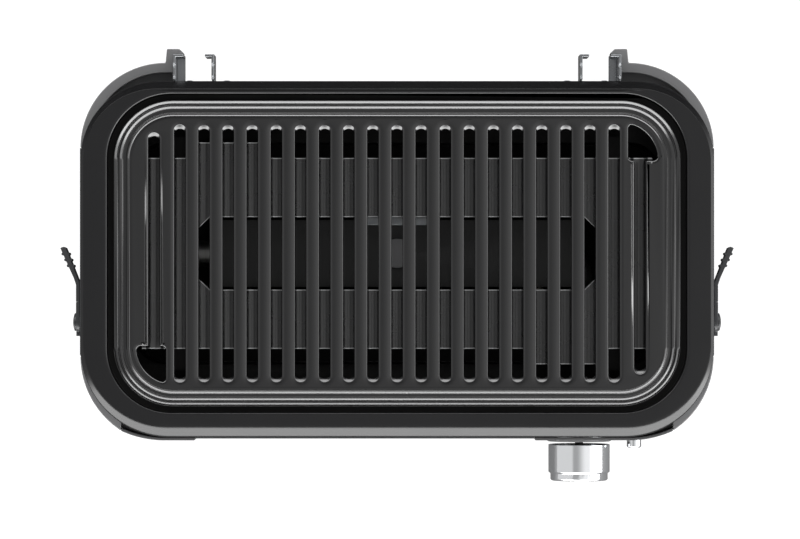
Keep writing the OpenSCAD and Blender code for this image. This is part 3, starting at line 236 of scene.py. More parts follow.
def eased(node, name, skin, body, slot, width):
    """Copies a CAD node, joins its loose triangles and rounds its edges by a width in mm"""
    work = bmesh.new()
    work.from_mesh(parts[node].data)
    bmesh.ops.remove_doubles(work, verts=work.verts, dist=weld)
    bmesh.ops.dissolve_limit(
        work, angle_limit=flat_angle, verts=work.verts, edges=work.edges, delimit={"NORMAL"}
    )
    mesh = bpy.data.meshes.new(name)
    work.to_mesh(mesh)
    work.free()
    piece = bpy.data.objects.new(name, mesh)
    scene.collection.objects.link(piece)
    mesh.shade_smooth()
    mesh.set_sharp_from_angle(angle=sharp_angle)
    rounding = piece.modifiers.new("rounding", "BEVEL")
    rounding.width = width * mm
    rounding.segments = 2
    rounding.limit_method = "ANGLE"
    rounding.angle_limit = sharp_angle
    rounding.use_clamp_overlap = False
    rounding.harden_normals = True
    settle(piece)
    return mount(piece, skin, body, slot, node)


# Fired black enamel, darkened further as painted shade for the trough and the rests under the plate: almost
# no light comes back from the trough
black_enamel_painted_shade = finish("black_enamel_painted_shade", "#030303", "#060505", (0.45, 0.6), 0.8, 0.004, gleam=0.15)
# Galvanised steel: pale grey with soft blotches a few millimetres wide
zinc = finish("galvanised_steel", "#a3a6a8", "#84878a", (0.35, 0.6), 2.5, 0.02, metallic=1.0, patch=6)
eased("firebox", "pressed_firebox", black_enamel_painted_shade, "body", "firebox_enamel", 0.9)
dress(black_enamel_painted_shade, "gutter_rests")
dress(zinc, "firebox_spacers", "base_pan")


# Casing: a painted steel wall round the firebox with louvres at the back, closed at the front by a
# plain panel and at the ends by moulded panels, each held by two screws.

# Baked paint: near black with a dull, even sheen
casing_paint = finish("casing_paint", "#1c1c1e", "#232426", (0.35, 0.5), 0.5, 0.015)
# Grained moulded plastic: dark grey that breaks up every highlight
panel_plastic = finish("moulded_panel", "#2b2c2e", "#323335", (0.45, 0.6), 0.6, 0.03)
# Plated screws: small bright heads that tell the eye where a panel comes off
screw_steel = finish("plated_screw_steel", "#b9bbbd", "#9b9da0", (0.25, 0.4), 0.4, 0.01, metallic=1.0)


def socket(tree, name, kind, way="INPUT"):
    """Adds a named input or output to a geometry tree and gives its identifier"""
    return tree.interface.new_socket(name, in_out=way, socket_type=kind).identifier


def shape(piece, tree, values):
    """Puts a geometry tree on a piece with a value for each of its inputs"""
    step = piece.modifiers.new(tree.name, "NODES")
    step.node_group = tree
    for key, value in values.items():
        step[key] = value


heads = bpy.data.node_groups.new("heads_on_places", "GeometryNodeTree")
socket(heads, "Geometry", "NodeSocketGeometry", "OUTPUT")
socket(heads, "Places", "NodeSocketGeometry")
head_key = socket(heads, "Head", "NodeSocketObject")
coat_key = socket(heads, "Coat", "NodeSocketMaterial")
entry = heads.nodes.new("NodeGroupInput")
facing = add(heads, "GeometryNodeInputNamedAttribute", {"data_type": "FLOAT_VECTOR"}, {"Name": "facing"})
turned = add(heads, "FunctionNodeAlignRotationToVector", {"axis": "Z"}, {"Vector": facing.outputs[0]})
head = add(heads, "GeometryNodeObjectInfo", {}, {"Object": entry.outputs["Head"]})
placed = add(
    heads,
    "GeometryNodeInstanceOnPoints",
    {},
    {"Points": entry.outputs["Places"], "Instance": head.outputs["Geometry"], "Rotation": turned.outputs[0]},
)
solid = add(heads, "GeometryNodeRealizeInstances", {}, {"Geometry": placed.outputs[0]})
coated = add(
    heads, "GeometryNodeSetMaterial", {}, {"Geometry": solid.outputs[0], "Material": entry.outputs["Coat"]}
)
add(heads, "NodeGroupOutput", {}, {"Geometry": coated.outputs[0]})


def places(node, way):
    """The outer end of each fastener in a CAD node, seen along way, and its reach along way"""
    work = bmesh.new()
    work.from_mesh(parts[node].data)
    bmesh.ops.remove_doubles(work, verts=work.verts, dist=weld)
    left, found = dict.fromkeys(work.verts), []
    while left:
        group, edge = [], [left.popitem()[0]]
        while edge:
            here = edge.pop()
            group.append(here)
            for link in here.link_edges:
                other = link.other_vert(here)
                if other in left:
                    del left[other]
                    edge.append(other)
        low = Vector([min(v.co[k] for v in group) for k in range(3)])
        high = Vector([max(v.co[k] for v in group) for k in range(3)])
        out = Vector(way((low + high) / 2))
        reach = abs((high - low).dot(out))
        found.append(((low + high) / 2 + out * reach / 2, out, reach))
    work.free()
    return found


head_steps, head_sharp = 24, math.radians(40)


def fasteners(node, name, way, profile, skin, body, slot):
    """Turned fasteners in the places of a CAD node; profile is radius, height and sides in mm"""
    spots = places(node, way)
    work = bmesh.new()
    hoops = []
    for r, z, sides in profile:
        hoop = []
        for i in range(head_steps):
            a = math.tau * i / head_steps
            wide = r
            if sides:
                half = math.pi / sides
                wide = r * math.cos(half) / math.cos(a % (2 * half) - half)
            hoop.append(work.verts.new((wide * mm * math.cos(a), wide * mm * math.sin(a), z * mm)))
        hoops.append(hoop)
    for low, high in zip(hoops, hoops[1:]):
        for i in range(head_steps):
            j = (i + 1) % head_steps
            work.faces.new((low[i], low[j], high[j], high[i]))
    work.faces.new(hoops[0][::-1])
    work.faces.new(hoops[-1])
    mesh = bpy.data.meshes.new(name + "_head")
    work.to_mesh(mesh)
    work.free()
    mesh.shade_smooth()
    mesh.set_sharp_from_angle(angle=head_sharp)
    pattern = bpy.data.objects.new(name + "_head", mesh)
    points = bpy.data.meshes.new(name)
    points.from_pydata([tuple(spot) for spot, out, reach in spots], [], [])
    facing = points.attributes.new("facing", "FLOAT_VECTOR", "POINT")
    for i, (spot, out, reach) in enumerate(spots):
        facing.data[i].vector = out
    piece = bpy.data.objects.new(name, points)
    scene.collection.objects.link(piece)
    shape(piece, heads, {head_key: pattern, coat_key: skin})
    settle(piece)
    bpy.data.objects.remove(pattern)
    return mount(piece, skin, body, slot, node)


def screw_profile(r, height, length, socket_r):
    """A domed head with a six-sided socket on a shank; the head's top is at 0"""
    low = -height
    return (
        (r * 0.5, -length, 0), (r * 0.5, low, 0), (r * 0.94, low, 0), (r, low + 0.1, 0), (r, low * 0.55, 0),
        (r * 0.93, low * 0.3, 0), (r * 0.78, low * 0.1, 0), (socket_r + 0.25, 0, 0), (socket_r, -0.12, 6),
        (socket_r, low * 0.7, 6), (socket_r * 0.3, low * 0.75, 0),
    )


screw_r, screw_head, screw_l, screw_socket_r = 3.2, 1.6, 6.9, 1.5
dress(casing_paint, "casing")
eased("front_panel", "front_wall", panel_plastic, "body", "panel_plastic", 0.6)
eased("left_side_panel", "left_end_panel", panel_plastic, "body", "panel_plastic", 0.6)
eased("right_side_panel", "right_end_panel", panel_plastic, "body", "panel_plastic", 0.6)
fasteners(
    "side_panel_screws", "end_panel_screws", lambda c: (math.copysign(1, c.x), 0, 0),
    screw_profile(screw_r, screw_head, screw_l, screw_socket_r), screw_steel, "body", "fastener_steel",
)


# Legs: four moulded shells round the casing's corners. Each stands on a rubber foot, and one long
# bolt goes up through foot, shell and bottom pan.

# Smooth moulded plastic: mid grey, lighter than the casing between the legs
leg_plastic = finish("moulded_leg", "#6a6a6b", "#707071", (0.42, 0.5), 0.6, 0.006)
# Rubber: black and quite dull, with a fine grain
foot_rubber = finish("foot_rubber", "#1b1b1b", "#242424", (0.75, 0.9), 0.7, 0.05)
for corner in ("front_left", "front_right", "rear_left", "rear_right"):
    eased(corner + "_leg", corner + "_shell", leg_plastic, "body", "leg_plastic", 0.8)
eased("rubber_feet", "soft_feet", foot_rubber, "body", "foot_rubber", 0.8)
dress(screw_steel, "leg_bolts", "leg_nuts")


# Rim: a frame pressed from steel sheet and powder coated in satin black. Its front slopes down in a
# broad shoulder, the back in a narrower one, and the edge of its opening is rolled over.
corner_steps = 24


def plan(w, front, back, rf, rb):
    """Points round a rectangle about the middle line with its own front and rear corner radius"""
    points = []
    for cx, cy, r, start in (
        (w / 2 - rf, front + rf, rf, -90),
        (w / 2 - rb, back - rb, rb, 0),
        (rb - w / 2, back - rb, rb, 90),
        (rf - w / 2, front + rf, rf, 180),
    ):
        for i in range(corner_steps + 1):
            a = math.radians(start + 90 * i / corner_steps)
            points.append((cx + r * math.cos(a), cy + r * math.sin(a)))
    return points


def skinned(name, rings):
    """A closed mesh through rings of points in mm, which run anticlockwise seen from above"""
    work = bmesh.new()
    hoops = [[work.verts.new((x * mm, y * mm, z * mm)) for x, y, z in ring] for ring in rings]
    for low, high in zip(hoops, hoops[1:] + hoops[:1]):
        for i in range(len(low)):
            j = (i + 1) % len(low)
            work.faces.new((low[i], low[j], high[j], high[i]))
    mesh = bpy.data.meshes.new(name)
    work.to_mesh(mesh)
    work.free()
    mesh.shade_smooth()
    piece = bpy.data.objects.new(name, mesh)
    scene.collection.objects.link(piece)
    return piece


def span(node):
    """The lowest and the highest corner of a CAD node in mm"""
    return [[round(v / mm, 3) for v in corner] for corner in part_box(node)]


rim_low, rim_high = span("rim_frame")
rim_foot, rim_top = rim_low[2], rim_high[2]
front_r, rear_r = 66, 58
side_bevel, front_bevel, rear_bevel, corner_bevel = 2.1, 8.5, 6, 4.2
rear_slope_from, rear_slope_to = -20, 78
grate_y = 9.35
opening_w, opening_half, opening_r = 427.8, 117.65, 47.5
front_edge_from, front_edge_to = -60, -100
rim_skin, skirt_skin, corner_fill = 2.5, 5, 6.8
inside_bevel = (5.1, 8.5, 6.4, 7.2)


def rim_ring(side, front, back, less, z):
    """A ring of the rim, set in by side, front and back, with corners smaller by less"""
    width = rim_high[0] - rim_low[0] - 2 * side
    outline = plan(width, rim_low[1] + front, rim_high[1] - back, front_r - less, rear_r - less)
    return [(x, y, z) for x, y in outline]


def bevel_ring(u, front_drop, rear_drop):
    """A ring of the bevel, whose height falls with its width, so that its slope stays the same"""
    outer, inner, ring = (
        rim_ring(side_bevel * k, front_bevel * k, rear_bevel * k, corner_bevel * k, rim_top)
        for k in (0, 1, u)
    )
    points = []
    for i, ((x, y, z), far, near) in enumerate(zip(ring, outer, inner)):
        corner, step = divmod(i, corner_steps + 1)
        a = math.radians(90 * corner - 90 + 90 * step / corner_steps)
        width = (far[0] - near[0]) * math.cos(a) + (far[1] - near[1]) * math.sin(a)
        rear = min(1, max(0, (y - rear_slope_from) / (rear_slope_to - rear_slope_from)))
        points.append((x, y, z - (front_drop + (rear_drop - front_drop) * rear) * width / front_bevel))
    return points


def opening_ring(out, depth, front_depth):
    """A ring of the rim round its opening, depth below its top and front_depth at the front"""
    outline = plan(
        opening_w + 2 * out, grate_y - opening_half - out, grate_y + opening_half + out,
        opening_r + out, opening_r + out,
    )
    points = []
    for x, y in outline:
        share = min(1, max(0, (front_edge_from - y) / (front_edge_from - front_edge_to)))
        points.append((x, y, rim_top - depth - (front_depth - depth) * share))
    return points


# Inset and height above the rim's foot
skirt = ((1.5, 0), (0.5, 0), (0.15, 0.15), (0, 0.5))
# Share of the bevel's width, and how deep it lies there in front and at the rear
shoulder = (
    (0, 6.4, 8.4), (0.02, 5.9, 8.15), (0.06, 5.45, 7.75), (0.12, 4.97, 7.2), (0.2, 4.47, 6.56),
    (0.45, 2.95, 4.51), (0.68, 1.54, 2.63), (0.76, 1.1, 1.97), (0.84, 0.73, 1.31), (0.92, 0.43, 0.65),
    (0.99, 0.23, 0.08), (1.01, 0.18, 0), (1.1, 0.05, 0), (1.2, 0, 0),
)
# Distance from the opening, and the depth there all round and in front
rolled_edge = (
    (2.8, 0, 0), (1.2, 0, 0), (0.9, 0.05, 0.01), (0.4, 0.35, 0.07), (0.12, 0.6, 0.3), (0.03, 0.85, 0.7),
    (0, 1.3, 1.2), (0, 2.25, 2.25), (0.2, 2.48, 2.48), (1.2, rim_skin, rim_skin),
)
rim_rings = [rim_ring(inset, inset, inset, inset, rim_foot + height) for inset, height in skirt]
rim_rings += [bevel_ring(*row) for row in shoulder]
rim_rings += [opening_ring(*row) for row in rolled_edge]
rim_rings += [rim_ring(*inside_bevel, rim_top - depth) for depth in (rim_skin, corner_fill)]
rim_rings += [
    rim_ring(skirt_skin, skirt_skin, skirt_skin, skirt_skin, rim_foot + height) for height in (skirt_skin, 0)
]
# Satin powder coat: near black when flat, with one clear grey band along its front slope
rim_coat = finish("rim_powder_coat", "#151516", "#181819", (0.18, 0.22), 0.9, 0.0006, gleam=0.34)
rim = skinned("pressed_rim", rim_rings)
mount(rim, rim_coat, "body", "rim_coat", "rim_frame")


# Lid hinges: two bent stainless plates at each side of the back, each with a foot that is riveted to
# the casing, a raised web with the rod's bore and two notches, and a turned rear edge.

# Brushed stainless steel, darkened by heat: fine lines along the plates and bright turned edges
stainless = finish(
    "brushed_stainless", "#929496", "#85878a", (0.2, 0.32), 0.3, 0.008,
    metallic=1.0, stretch=(1, 1, 0.05), patch=30,
)
for side in ("left", "right"):
    for plate in ("outer", "inner"):
        node = f"{side}_hinge_{plate}_plate"
        eased(node, f"{side}_{plate}_hinge_plate", stainless, "body", "stainless", 0.4)
rivet_profile = (
    (1.6, -5.2, 0), (1.6, -1.2, 0), (2.9, -1.2, 0), (3, -1, 0), (2.75, -0.55, 0), (2.1, -0.2, 0),
    (1.3, -0.03, 0), (0.4, 0, 0),
)
fasteners(
    "hinge_rivets", "hinge_rivet_heads", lambda c: (0, 1, 0),
    rivet_profile, stainless, "body", "fastener_steel",
)


# Burner: an aluminised steel tube on two saddles, with an elbow to the venturi in front of the valve.
# A black cover on two stands keeps fat off it, with one zinc bracket at its rear edge.

# Aluminised steel: pale grey, tinted a little by heat in long patches
tube_steel = finish("aluminised_tube", "#b3b5b6", "#8e8b86", (0.35, 0.6), 1.2, 0.02, metallic=1.0, patch=15)
# Dull enamel: black in the opening, with a painted highlight in grey on top of the nut
cover_enamel = finish("cover_enamel", "#0a0a0a", "#0e0e0e", (0.4, 0.5), 0.8, 0.003)
dress(tube_steel, "burner_tube", "burner_elbow")
dress(zinc, "burner_saddles", "cover_stands", "electrode_bracket")
tree = cover_enamel.node_tree
shader = tree.nodes["Principled BSDF"]
whole = shader.inputs["Base Color"].links[0].from_socket
spot = add(tree, "ShaderNodeSeparateXYZ", {}, {0: add(tree, "ShaderNodeTexCoord", {}, {}).outputs["Object"]})
# Painted highlight: the cover turns grey over its top 1.2 mm, standing for light on its upper face
cover_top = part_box("burner_cover")[1][2]
lit_top_from, lit_top_to = cover_top - 1.2 * mm, cover_top - 0.4 * mm
painted_top_light = add(
    tree,
    "ShaderNodeMapRange",
    {"interpolation_type": "SMOOTHSTEP"},
    {"Value": spot.outputs["Z"], "From Min": lit_top_from, "From Max": lit_top_to},
)
lit_top_colour = add(
    tree, "ShaderNodeMix", {"data_type": "RGBA"}, {0: painted_top_light.outputs[0], 6: whole, 7: linear("#626263")}
)
tree.links.new(lit_top_colour.outputs[2], shader.inputs["Base Color"])
eased("burner_cover", "fat_cover", cover_enamel, "body", "cover_enamel", 0.5)
eased("cover_bracket", "bent_bracket", zinc, "body", "zinc_steel", 0.3)


# Gas train: a brass valve behind the control panel, its jet, and the inlet that goes down through the
# bottom pan. The spring behind the stem pushes the knob out.

# Turned brass: the one warm metal, seen only when the plates are out
brass = finish("turned_brass", "#c7a357", "#a98645", (0.25, 0.45), 0.5, 0.01, metallic=1.0)
dress(brass, "gas_valve", "gas_nozzle", "gas_inlet")
dress(screw_steel, "valve_screws", "valve_spring", "spindle_washer")


# Ignition: a moulded piezo igniter, clipped in behind its button, whose silicone lead runs over the
# venturi to a ceramic electrode beside the burner.

# Moulded igniter body: dull black
piezo_plastic = finish("piezo_housing", "#1d1e20", "#26272a", (0.45, 0.6), 0.6, 0.02)
# Silicone rubber: rust red and matt, the one coloured piece inside
silicone = finish("silicone_lead", "#a63b26", "#8f2f1f", (0.5, 0.65), 0.5, 0.01)
# Glazed ceramic: off-white with a soft gleam
ceramic = finish("electrode_ceramic", "#ece7da", "#dcd6c6", (0.25, 0.4), 0.8, 0.01)
dress(piezo_plastic, "igniter_body")
dress(silicone, "ignition_lead")
dress(ceramic, "spark_electrode")


# Gutter plate: thin pressed steel with one valley below each slot, enamelled dark grey. A thin strip of
# bright bare metal on its top, along its front and rear edges and round the flame opening, is a painted
# highlight for those edges. The flame opening in its middle has cut corners.

# Smooth dark enamel: each valley draws one light line between two dark walls
gutter_enamel = finish("gutter_enamel", "#1b1b1c", "#202021", (0.24, 0.3), 0.8, 0.001, gleam=1.0)
# Bright bare metal on a thin strip of the sheet's top: a painted highlight line where the enamel ends
bare_edge_highlight = finish("bare_metal_painted_highlight", "#c9cacb", "#b4b5b6", (0.3, 0.4), 0.5, 0.002, metallic=1.0)
gutter = bpy.data.objects.new("corrugated_gutters", bpy.data.meshes.new("corrugated_gutters"))
scene.collection.objects.link(gutter)

gutter_low, gutter_high = span("gutter_plate")
gutter_left, gutter_right = gutter_low[0], gutter_high[0]
pitch, valley_half = 17.8, 6.6
last, end_offset = 10, 1.3
valley_h, valley_bed, bed_rise, gutter_t = 5.0, 0.56, 0.9, 1.5
tab_x, tab_half, tab_l = 0.665 * gutter_right, 29.0, 11.5
low_y, high_y = gutter_low[1] + tab_l, gutter_high[1] - tab_l
flame_x, flame_y, flame_cut = 147.0, 26.9, 8.0
highlight_strip_w = 0.7
valley_steps, foot_u = 8, 1.06


def slot_x(i):
    """The middle of a slot; the outermost two lie a little further out"""
    return i * pitch + (math.copysign(end_offset, i) if abs(i) == last else 0)


stations = {gutter_left, gutter_right, -flame_x, flame_x, -flame_x + flame_cut, flame_x - flame_cut}
for i in range(-last, last + 1):
    places_in_valley = [k / valley_steps for k in range(-valley_steps, valley_steps + 1)]
    stations |= {round(slot_x(i) + valley_half * u, 3) for u in places_in_valley + [-foot_u, foot_u]}
for s in (-1, 1):
    stations |= {s * tab_x - tab_half, s * tab_x + tab_half}
stations = sorted(x for x in stations if gutter_left <= x <= gutter_right)
stations = [x for k, x in enumerate(stations) if k == 0 or x - stations[k - 1] > 0.01]
work = bmesh.new()
bare_strip = work.faces.layers.bool.new("bare_strip")
known = {}


def gutter_vertex(x, y):
    """The vertex of the flat sheet at a place, made once"""
    key = (round(x, 3), round(y, 3))
    if key not in known:
        known[key] = work.verts.new((x * mm, y * mm, gutter_high[2] * mm))
    return known[key]


for x0, x1 in zip(stations, stations[1:]):
    middle = (x0 + x1) / 2
    low = low_y - (tab_l if abs(middle - tab_x) < tab_half else 0)
    high = high_y + (tab_l if abs(middle + tab_x) < tab_half else 0)
    edges = [low_y] * (low < low_y) + [high_y] * (high > high_y)
    hole = []
    for x in (x0, x1):
        reach = flame_y - max(0, abs(x) - (flame_x - flame_cut))
        hole.append((grate_y - reach, grate_y + reach))
    if abs(middle) < flame_x:
        spans = [([low, low], [hole[0][0], hole[1][0]]), ([hole[0][1], hole[1][1]], [high, high])]
    else:
        spans = [([low, low], [high, high])]
    for start, end in spans:
        stops = [start, [v + highlight_strip_w for v in start]] + [[e, e] for e in edges if start[0] < e < end[0]]
        stops += [[v - highlight_strip_w for v in end], end]
        for k, (a, b) in enumerate(zip(stops, stops[1:])):
            corners = ((x0, a[0]), (x1, a[1]), (x1, b[1]), (x0, b[0]))
            face = work.faces.new([gutter_vertex(x, y) for x, y in corners])
            # Painted highlight: the first and last strip of each span, along the sheet's edges, are marked
            # for the bright metal
            face[bare_strip] = k in (0, len(stops) - 2)
work.to_mesh(gutter.data)
work.free()
gutter.data.shade_smooth()

valleys = bpy.data.node_groups.new("valleys_below_slots", "GeometryNodeTree")
socket(valleys, "Geometry", "NodeSocketGeometry", "OUTPUT")
socket(valleys, "Sheet", "NodeSocketGeometry")
valley_inputs = {}
for name, value in (
    ("Pitch", pitch * mm), ("Half Width", valley_half * mm), ("Depth", valley_h * mm),
    ("End Offset", end_offset * mm), ("Last", last),
):
    valley_inputs[socket(valleys, name, "NodeSocketFloat")] = value
enamel_key = socket(valleys, "Enamel", "NodeSocketMaterial")
edge_key = socket(valleys, "Bare Edge Highlight", "NodeSocketMaterial")
entry = valleys.nodes.new("NodeGroupInput")
spot = add(valleys, "GeometryNodeInputPosition", {}, {})
spot = add(valleys, "ShaderNodeSeparateXYZ", {}, {0: spot.outputs[0]})
# Each row works out a value from two others; together they say how far away the nearest slot's middle is
found = {name: entry.outputs[name] for name in ("Pitch", "Half Width", "End Offset", "Last")}
found["x"] = spot.outputs["X"]
for name, operation, a, b in (
    ("x", "ABSOLUTE", "x", 0.0),
    ("index", "DIVIDE", "x", "Pitch"),
    ("index", "ROUND", "index", 0.0),
    ("index", "MINIMUM", "index", "Last"),
    ("middle", "MULTIPLY", "index", "Pitch"),
    ("at end", "COMPARE", "index", "Last"),
    ("shift", "MULTIPLY", "at end", "End Offset"),
    ("middle", "ADD", "middle", "shift"),
    ("away", "SUBTRACT", "x", "middle"),
    ("away", "ABSOLUTE", "away", 0.0),
    ("away", "DIVIDE", "away", "Half Width"),
):
    result = add(valleys, "ShaderNodeMath", {"operation": operation}, {0: found[a], 1: found.get(b, b)})
    found[name] = result.outputs[0]
away = found["away"]
bed = add(
    valleys,
    "ShaderNodeMapRange",
    {},
    {"Value": away, "From Min": 0.0, "From Max": valley_bed, "To Min": 1.0, "To Max": bed_rise},
)
flank = add(
    valleys,
    "ShaderNodeMapRange",
    {"interpolation_type": "SMOOTHSTEP"},
    {"Value": away, "From Min": valley_bed, "From Max": 1.0, "To Min": 1.0, "To Max": 0.0},
)
fall = bed.outputs[0]
for value in (flank.outputs[0], entry.outputs["Depth"], -1.0):
    fall = add(valleys, "ShaderNodeMath", {"operation": "MULTIPLY"}, {0: fall, 1: value}).outputs[0]
drop = add(valleys, "ShaderNodeCombineXYZ", {}, {"Z": fall})
pressed = add(
    valleys, "GeometryNodeSetPosition", {}, {"Geometry": entry.outputs["Sheet"], "Offset": drop.outputs[0]}
)
solid = add(valleys, "GeometryNodeRealizeInstances", {}, {"Geometry": pressed.outputs[0]})
enamelled = {"Geometry": solid.outputs[0], "Material": entry.outputs["Enamel"]}
coated = add(valleys, "GeometryNodeSetMaterial", {}, enamelled)
# Painted highlight: the marked strips along the edges get the bright bare metal
strip = add(valleys, "GeometryNodeInputNamedAttribute", {"data_type": "BOOLEAN"}, {"Name": "bare_strip"})
edged = add(
    valleys,
    "GeometryNodeSetMaterial",
    {},
    {"Geometry": coated.outputs[0], "Selection": strip.outputs[0], "Material": entry.outputs["Bare Edge Highlight"]},
)
add(valleys, "NodeGroupOutput", {}, {"Geometry": edged.outputs[0]})
shape(gutter, valleys, {**valley_inputs, enamel_key: gutter_enamel, edge_key: bare_edge_highlight})
sheet = gutter.modifiers.new("sheet", "SOLIDIFY")
sheet.thickness = gutter_t * mm
sheet.offset = -1
sheet.use_even_offset = False
settle(gutter)
gutter.data.set_sharp_from_angle(angle=math.radians(40))
mount(gutter, gutter_enamel, "gutter_plate", "gutter_enamel", "gutter_plate")


# Grill plate: cast metal with a satin non-stick coat. Beads and a groove run round its edge, its bars
# are crowned, and the rear end of each slot has a wide chamfer. Two corner openings take a lifting hook.
plate_low, plate_high = span("grill_plate")
plate_r, plate_t, plate_face = 44, 5, plate_low[2] + 6
slot_r, slot_turns, front_share = 4.1, 12, 0.8
low_end, high_end = grate_y - 94.5, grate_y + 94.5
bead_blend = 120


def arc(cx, cy, r, start, end, n):
    """Points along an arc, its ends in degrees"""
    return [
        (cx + r * math.cos(math.radians(a)), cy + r * math.sin(math.radians(a)))
        for a in (start + (end - start) * i / n for i in range(n + 1))
    ]


def slot_loop(x, out, chamfer):
    """A slot's outline, wider by out; chamfer moves both ends inwards"""
    rear = arc(x, high_end - slot_r - chamfer, slot_r + out, 0, 180, slot_turns)
    return rear + arc(x, low_end + slot_r + front_share * chamfer, slot_r + out, 180, 360, slot_turns)


def grown(points, out):
    """The outline moved outwards by out along its normals"""
    moved = []
    n = len(points)
    for i, (x, y) in enumerate(points):
        ax, ay = x - points[i - 1][0], y - points[i - 1][1]
        bx, by = points[(i + 1) % n][0] - x, points[(i + 1) % n][1] - y
        la, lb = math.hypot(ax, ay), math.hypot(bx, by)
        nx, ny = ay / la + by / lb, -ax / la - bx / lb
        k = 2 / max(0.5, nx * nx + ny * ny)
        moved.append((x + nx * k * out, y + ny * k * out))
    return moved


# The corner opening's outline: centre, radius, ends in degrees and steps of each arc, anticlockwise
end_x, end_lower = slot_x(-last), 6
opening = []
for row in (
    (end_x, high_end - end_lower - slot_r, slot_r, 0, 180, slot_turns),
    (end_x - 4.9, -58.35, 0.8, 0, -90, 4),
    (-188.9, -62.55, 3.4, 90, 172, 5),
    (-165, -59.4, 27.3, 186, 248.5, 16),
    (-173.4, -82.6, 2.7, -80, 0, 5),
    (-173.7, -62.15, 3, 0, 78, 5),
    (-174.5, -58.45, 0.7, -90, -180, 3),
):
    opening += arc(*row)
# Distance from the slot, depth below the plate's face, and how far the slot's ends lie inwards
hole_levels = (
    (4.4, 0, 0), (3.4, 0.03, 0), (2.4, 0.12, 0), (1.5, 0.27, 0), (0.8, 0.43, 0), (0.42, 0.55, 0),
    (0.25, 0.7, 0.15), (0.12, 1.08, 0.8), (0.03, 1.54, 1.6), (0, 1.95, 2.3), (-0.05, 2.3, 2.6),
    (-0.1, 3.1, 2.65), (-0.12, 4.6, 2.6), (-0.05, 4.85, 2.55), (0.15, plate_t, 2.4), (0.9, plate_t, 1.7),
)
# Half widths of the bars' crowns, narrower beside the two outermost slots
crown, narrow_crowns = 4.4, {last - 1: 3.2, last: 2.8}
# Inset from the plate's edge and depth below its face, up the edge from its underside
edge_foot = ((4.4, 5), (4, 5.1), (4, 5.9), (3.9, 6), (0.6, 6), (0.15, 5.85), (0, 5.4), (0, 0.9))
# Inset from the plate's edge and height above its face, across the beads and the groove
front_beads = (
    (0, -1.3), (0.4, -1.15), (0.7, -0.9), (2.4, 0.4), (2.7, 0.45), (3, 0.2), (3.5, -0.66), (3.57, -0.72),
    (4.1, -0.5), (5.95, 0.85), (6.15, 0.88), (6.4, 0.6), (6.93, -1.02), (7, -1.09), (8.7, -1.1), (9.1, -1),
    (11.3, 0.4), (11.5, 0.42), (11.74, 0.08), (11.81, 0.01), (12.5, 0), (14, 0),
)
rear_beads = (
    (0, 0.3), (0.3, 0.75), (0.6, 0.75), (2.8, -0.85), (3.28, -0.9), (3.36, -0.8), (4, 0.35), (4.3, 0.45),
    (4.6, 0.3), (6, -0.75), (6.4, -0.9), (7.2, -0.95), (8.9, -0.95), (9, -0.83), (9.55, 0.55), (9.65, 0.64),
    (9.9, 0.72), (10.2, 0.7), (11.5, -0.2), (11.9, -0.15), (12.5, 0), (14, 0),
)


def bead_height(beads, inset):
    """The height of a row of beads at an inset"""
    for (a, low), (b, high) in zip(beads, beads[1:]):
        if a <= inset <= b:
            return low + (high - low) * (inset - a) / (b - a)


work = bmesh.new()


def plate_ring(points, z):
    """A ring of vertices at a height"""
    return [work.verts.new((x * mm, y * mm, z * mm)) for x, y in points]


def join_rings(rings):
    """Faces from each ring to the next"""
    for a, b in zip(rings, rings[1:]):
        for i in range(len(a)):
            j = (i + 1) % len(a)
            work.faces.new((a[i], a[j], b[j], b[i]))


def plate_outline(inset):
    """The plate's outline, set in from its edge"""
    width = plate_high[0] - plate_low[0] - 2 * inset
    return plan(width, plate_low[1] + inset, plate_high[1] - inset, plate_r - inset, plate_r - inset)


under = plate_ring(plate_outline(5.2), plate_face - plate_t)
rings = [under] + [plate_ring(plate_outline(inset), plate_face - depth) for inset, depth in edge_foot]
for inset in sorted({a for a, z in front_beads + rear_beads}):
    ring = plate_ring(plate_outline(inset), plate_face)
    for v in ring:
        back = min(1, max(0, 0.5 + (v.co.y / mm - grate_y) / bead_blend))
        lift = bead_height(front_beads, inset) * (1 - back) + bead_height(rear_beads, inset) * back
        v.co.z += lift * mm
    rings.append(ring)
join_rings(rings)
tops, bottoms = [rings[-1]], [under]
rear_points = slot_turns + 1
for i in range(-last, last + 1):
    reach = narrow_crowns.get(abs(i), crown) / crown
    rings = []
    for out, depth, chamfer in hole_levels:
        grow = out * reach if out > 0.5 else out
        if abs(i) == last:
            loop = grown(opening, grow)
            loop = [(x, y - chamfer * front_share) for x, y in loop[:rear_points]] + loop[rear_points:]
            if i == last:
                loop = [(-x, 2 * grate_y - y) for x, y in loop]
        else:
            loop = slot_loop(slot_x(i), grow, chamfer)
        rings.append(plate_ring(loop, plate_face - depth))
    join_rings(rings)
    tops.append(rings[0])
    bottoms.append(rings[-1])
for loops, up in ((tops, True), (bottoms, False)):
    corners = [v for loop in loops for v in loop]
    for a, b, c in tessellate_polygon([[v.co for v in loop] for loop in loops]):
        trio = (corners[a], corners[b], corners[c])
        flat = (trio[1].co - trio[0].co).cross(trio[2].co - trio[0].co)
        if flat.length >= 1e-14:
            work.faces.new(trio if (flat.z > 0) == up else trio[::-1])
mesh = bpy.data.meshes.new("cast_grill_plate")
work.to_mesh(mesh)
work.free()
mesh.shade_smooth()
cast_plate = bpy.data.objects.new("cast_grill_plate", mesh)
scene.collection.objects.link(cast_plate)
# Glossy non-stick coat on cast metal: black, with hard light lines on every bead and slot
plate_coat = finish("plate_nonstick_coat", "#0a0a0b", "#0d0d0e", (0.18, 0.22), 0.8, 0.0008, gleam=0.75)
mount(cast_plate, plate_coat, "grill_plate", "plate_coat", "grill_plate")


# Fascias: moulded bands across the front corners, clipped to the legs. The right one is the control
# panel, with a raised bezel behind the knob and a plain hole for the igniter button.

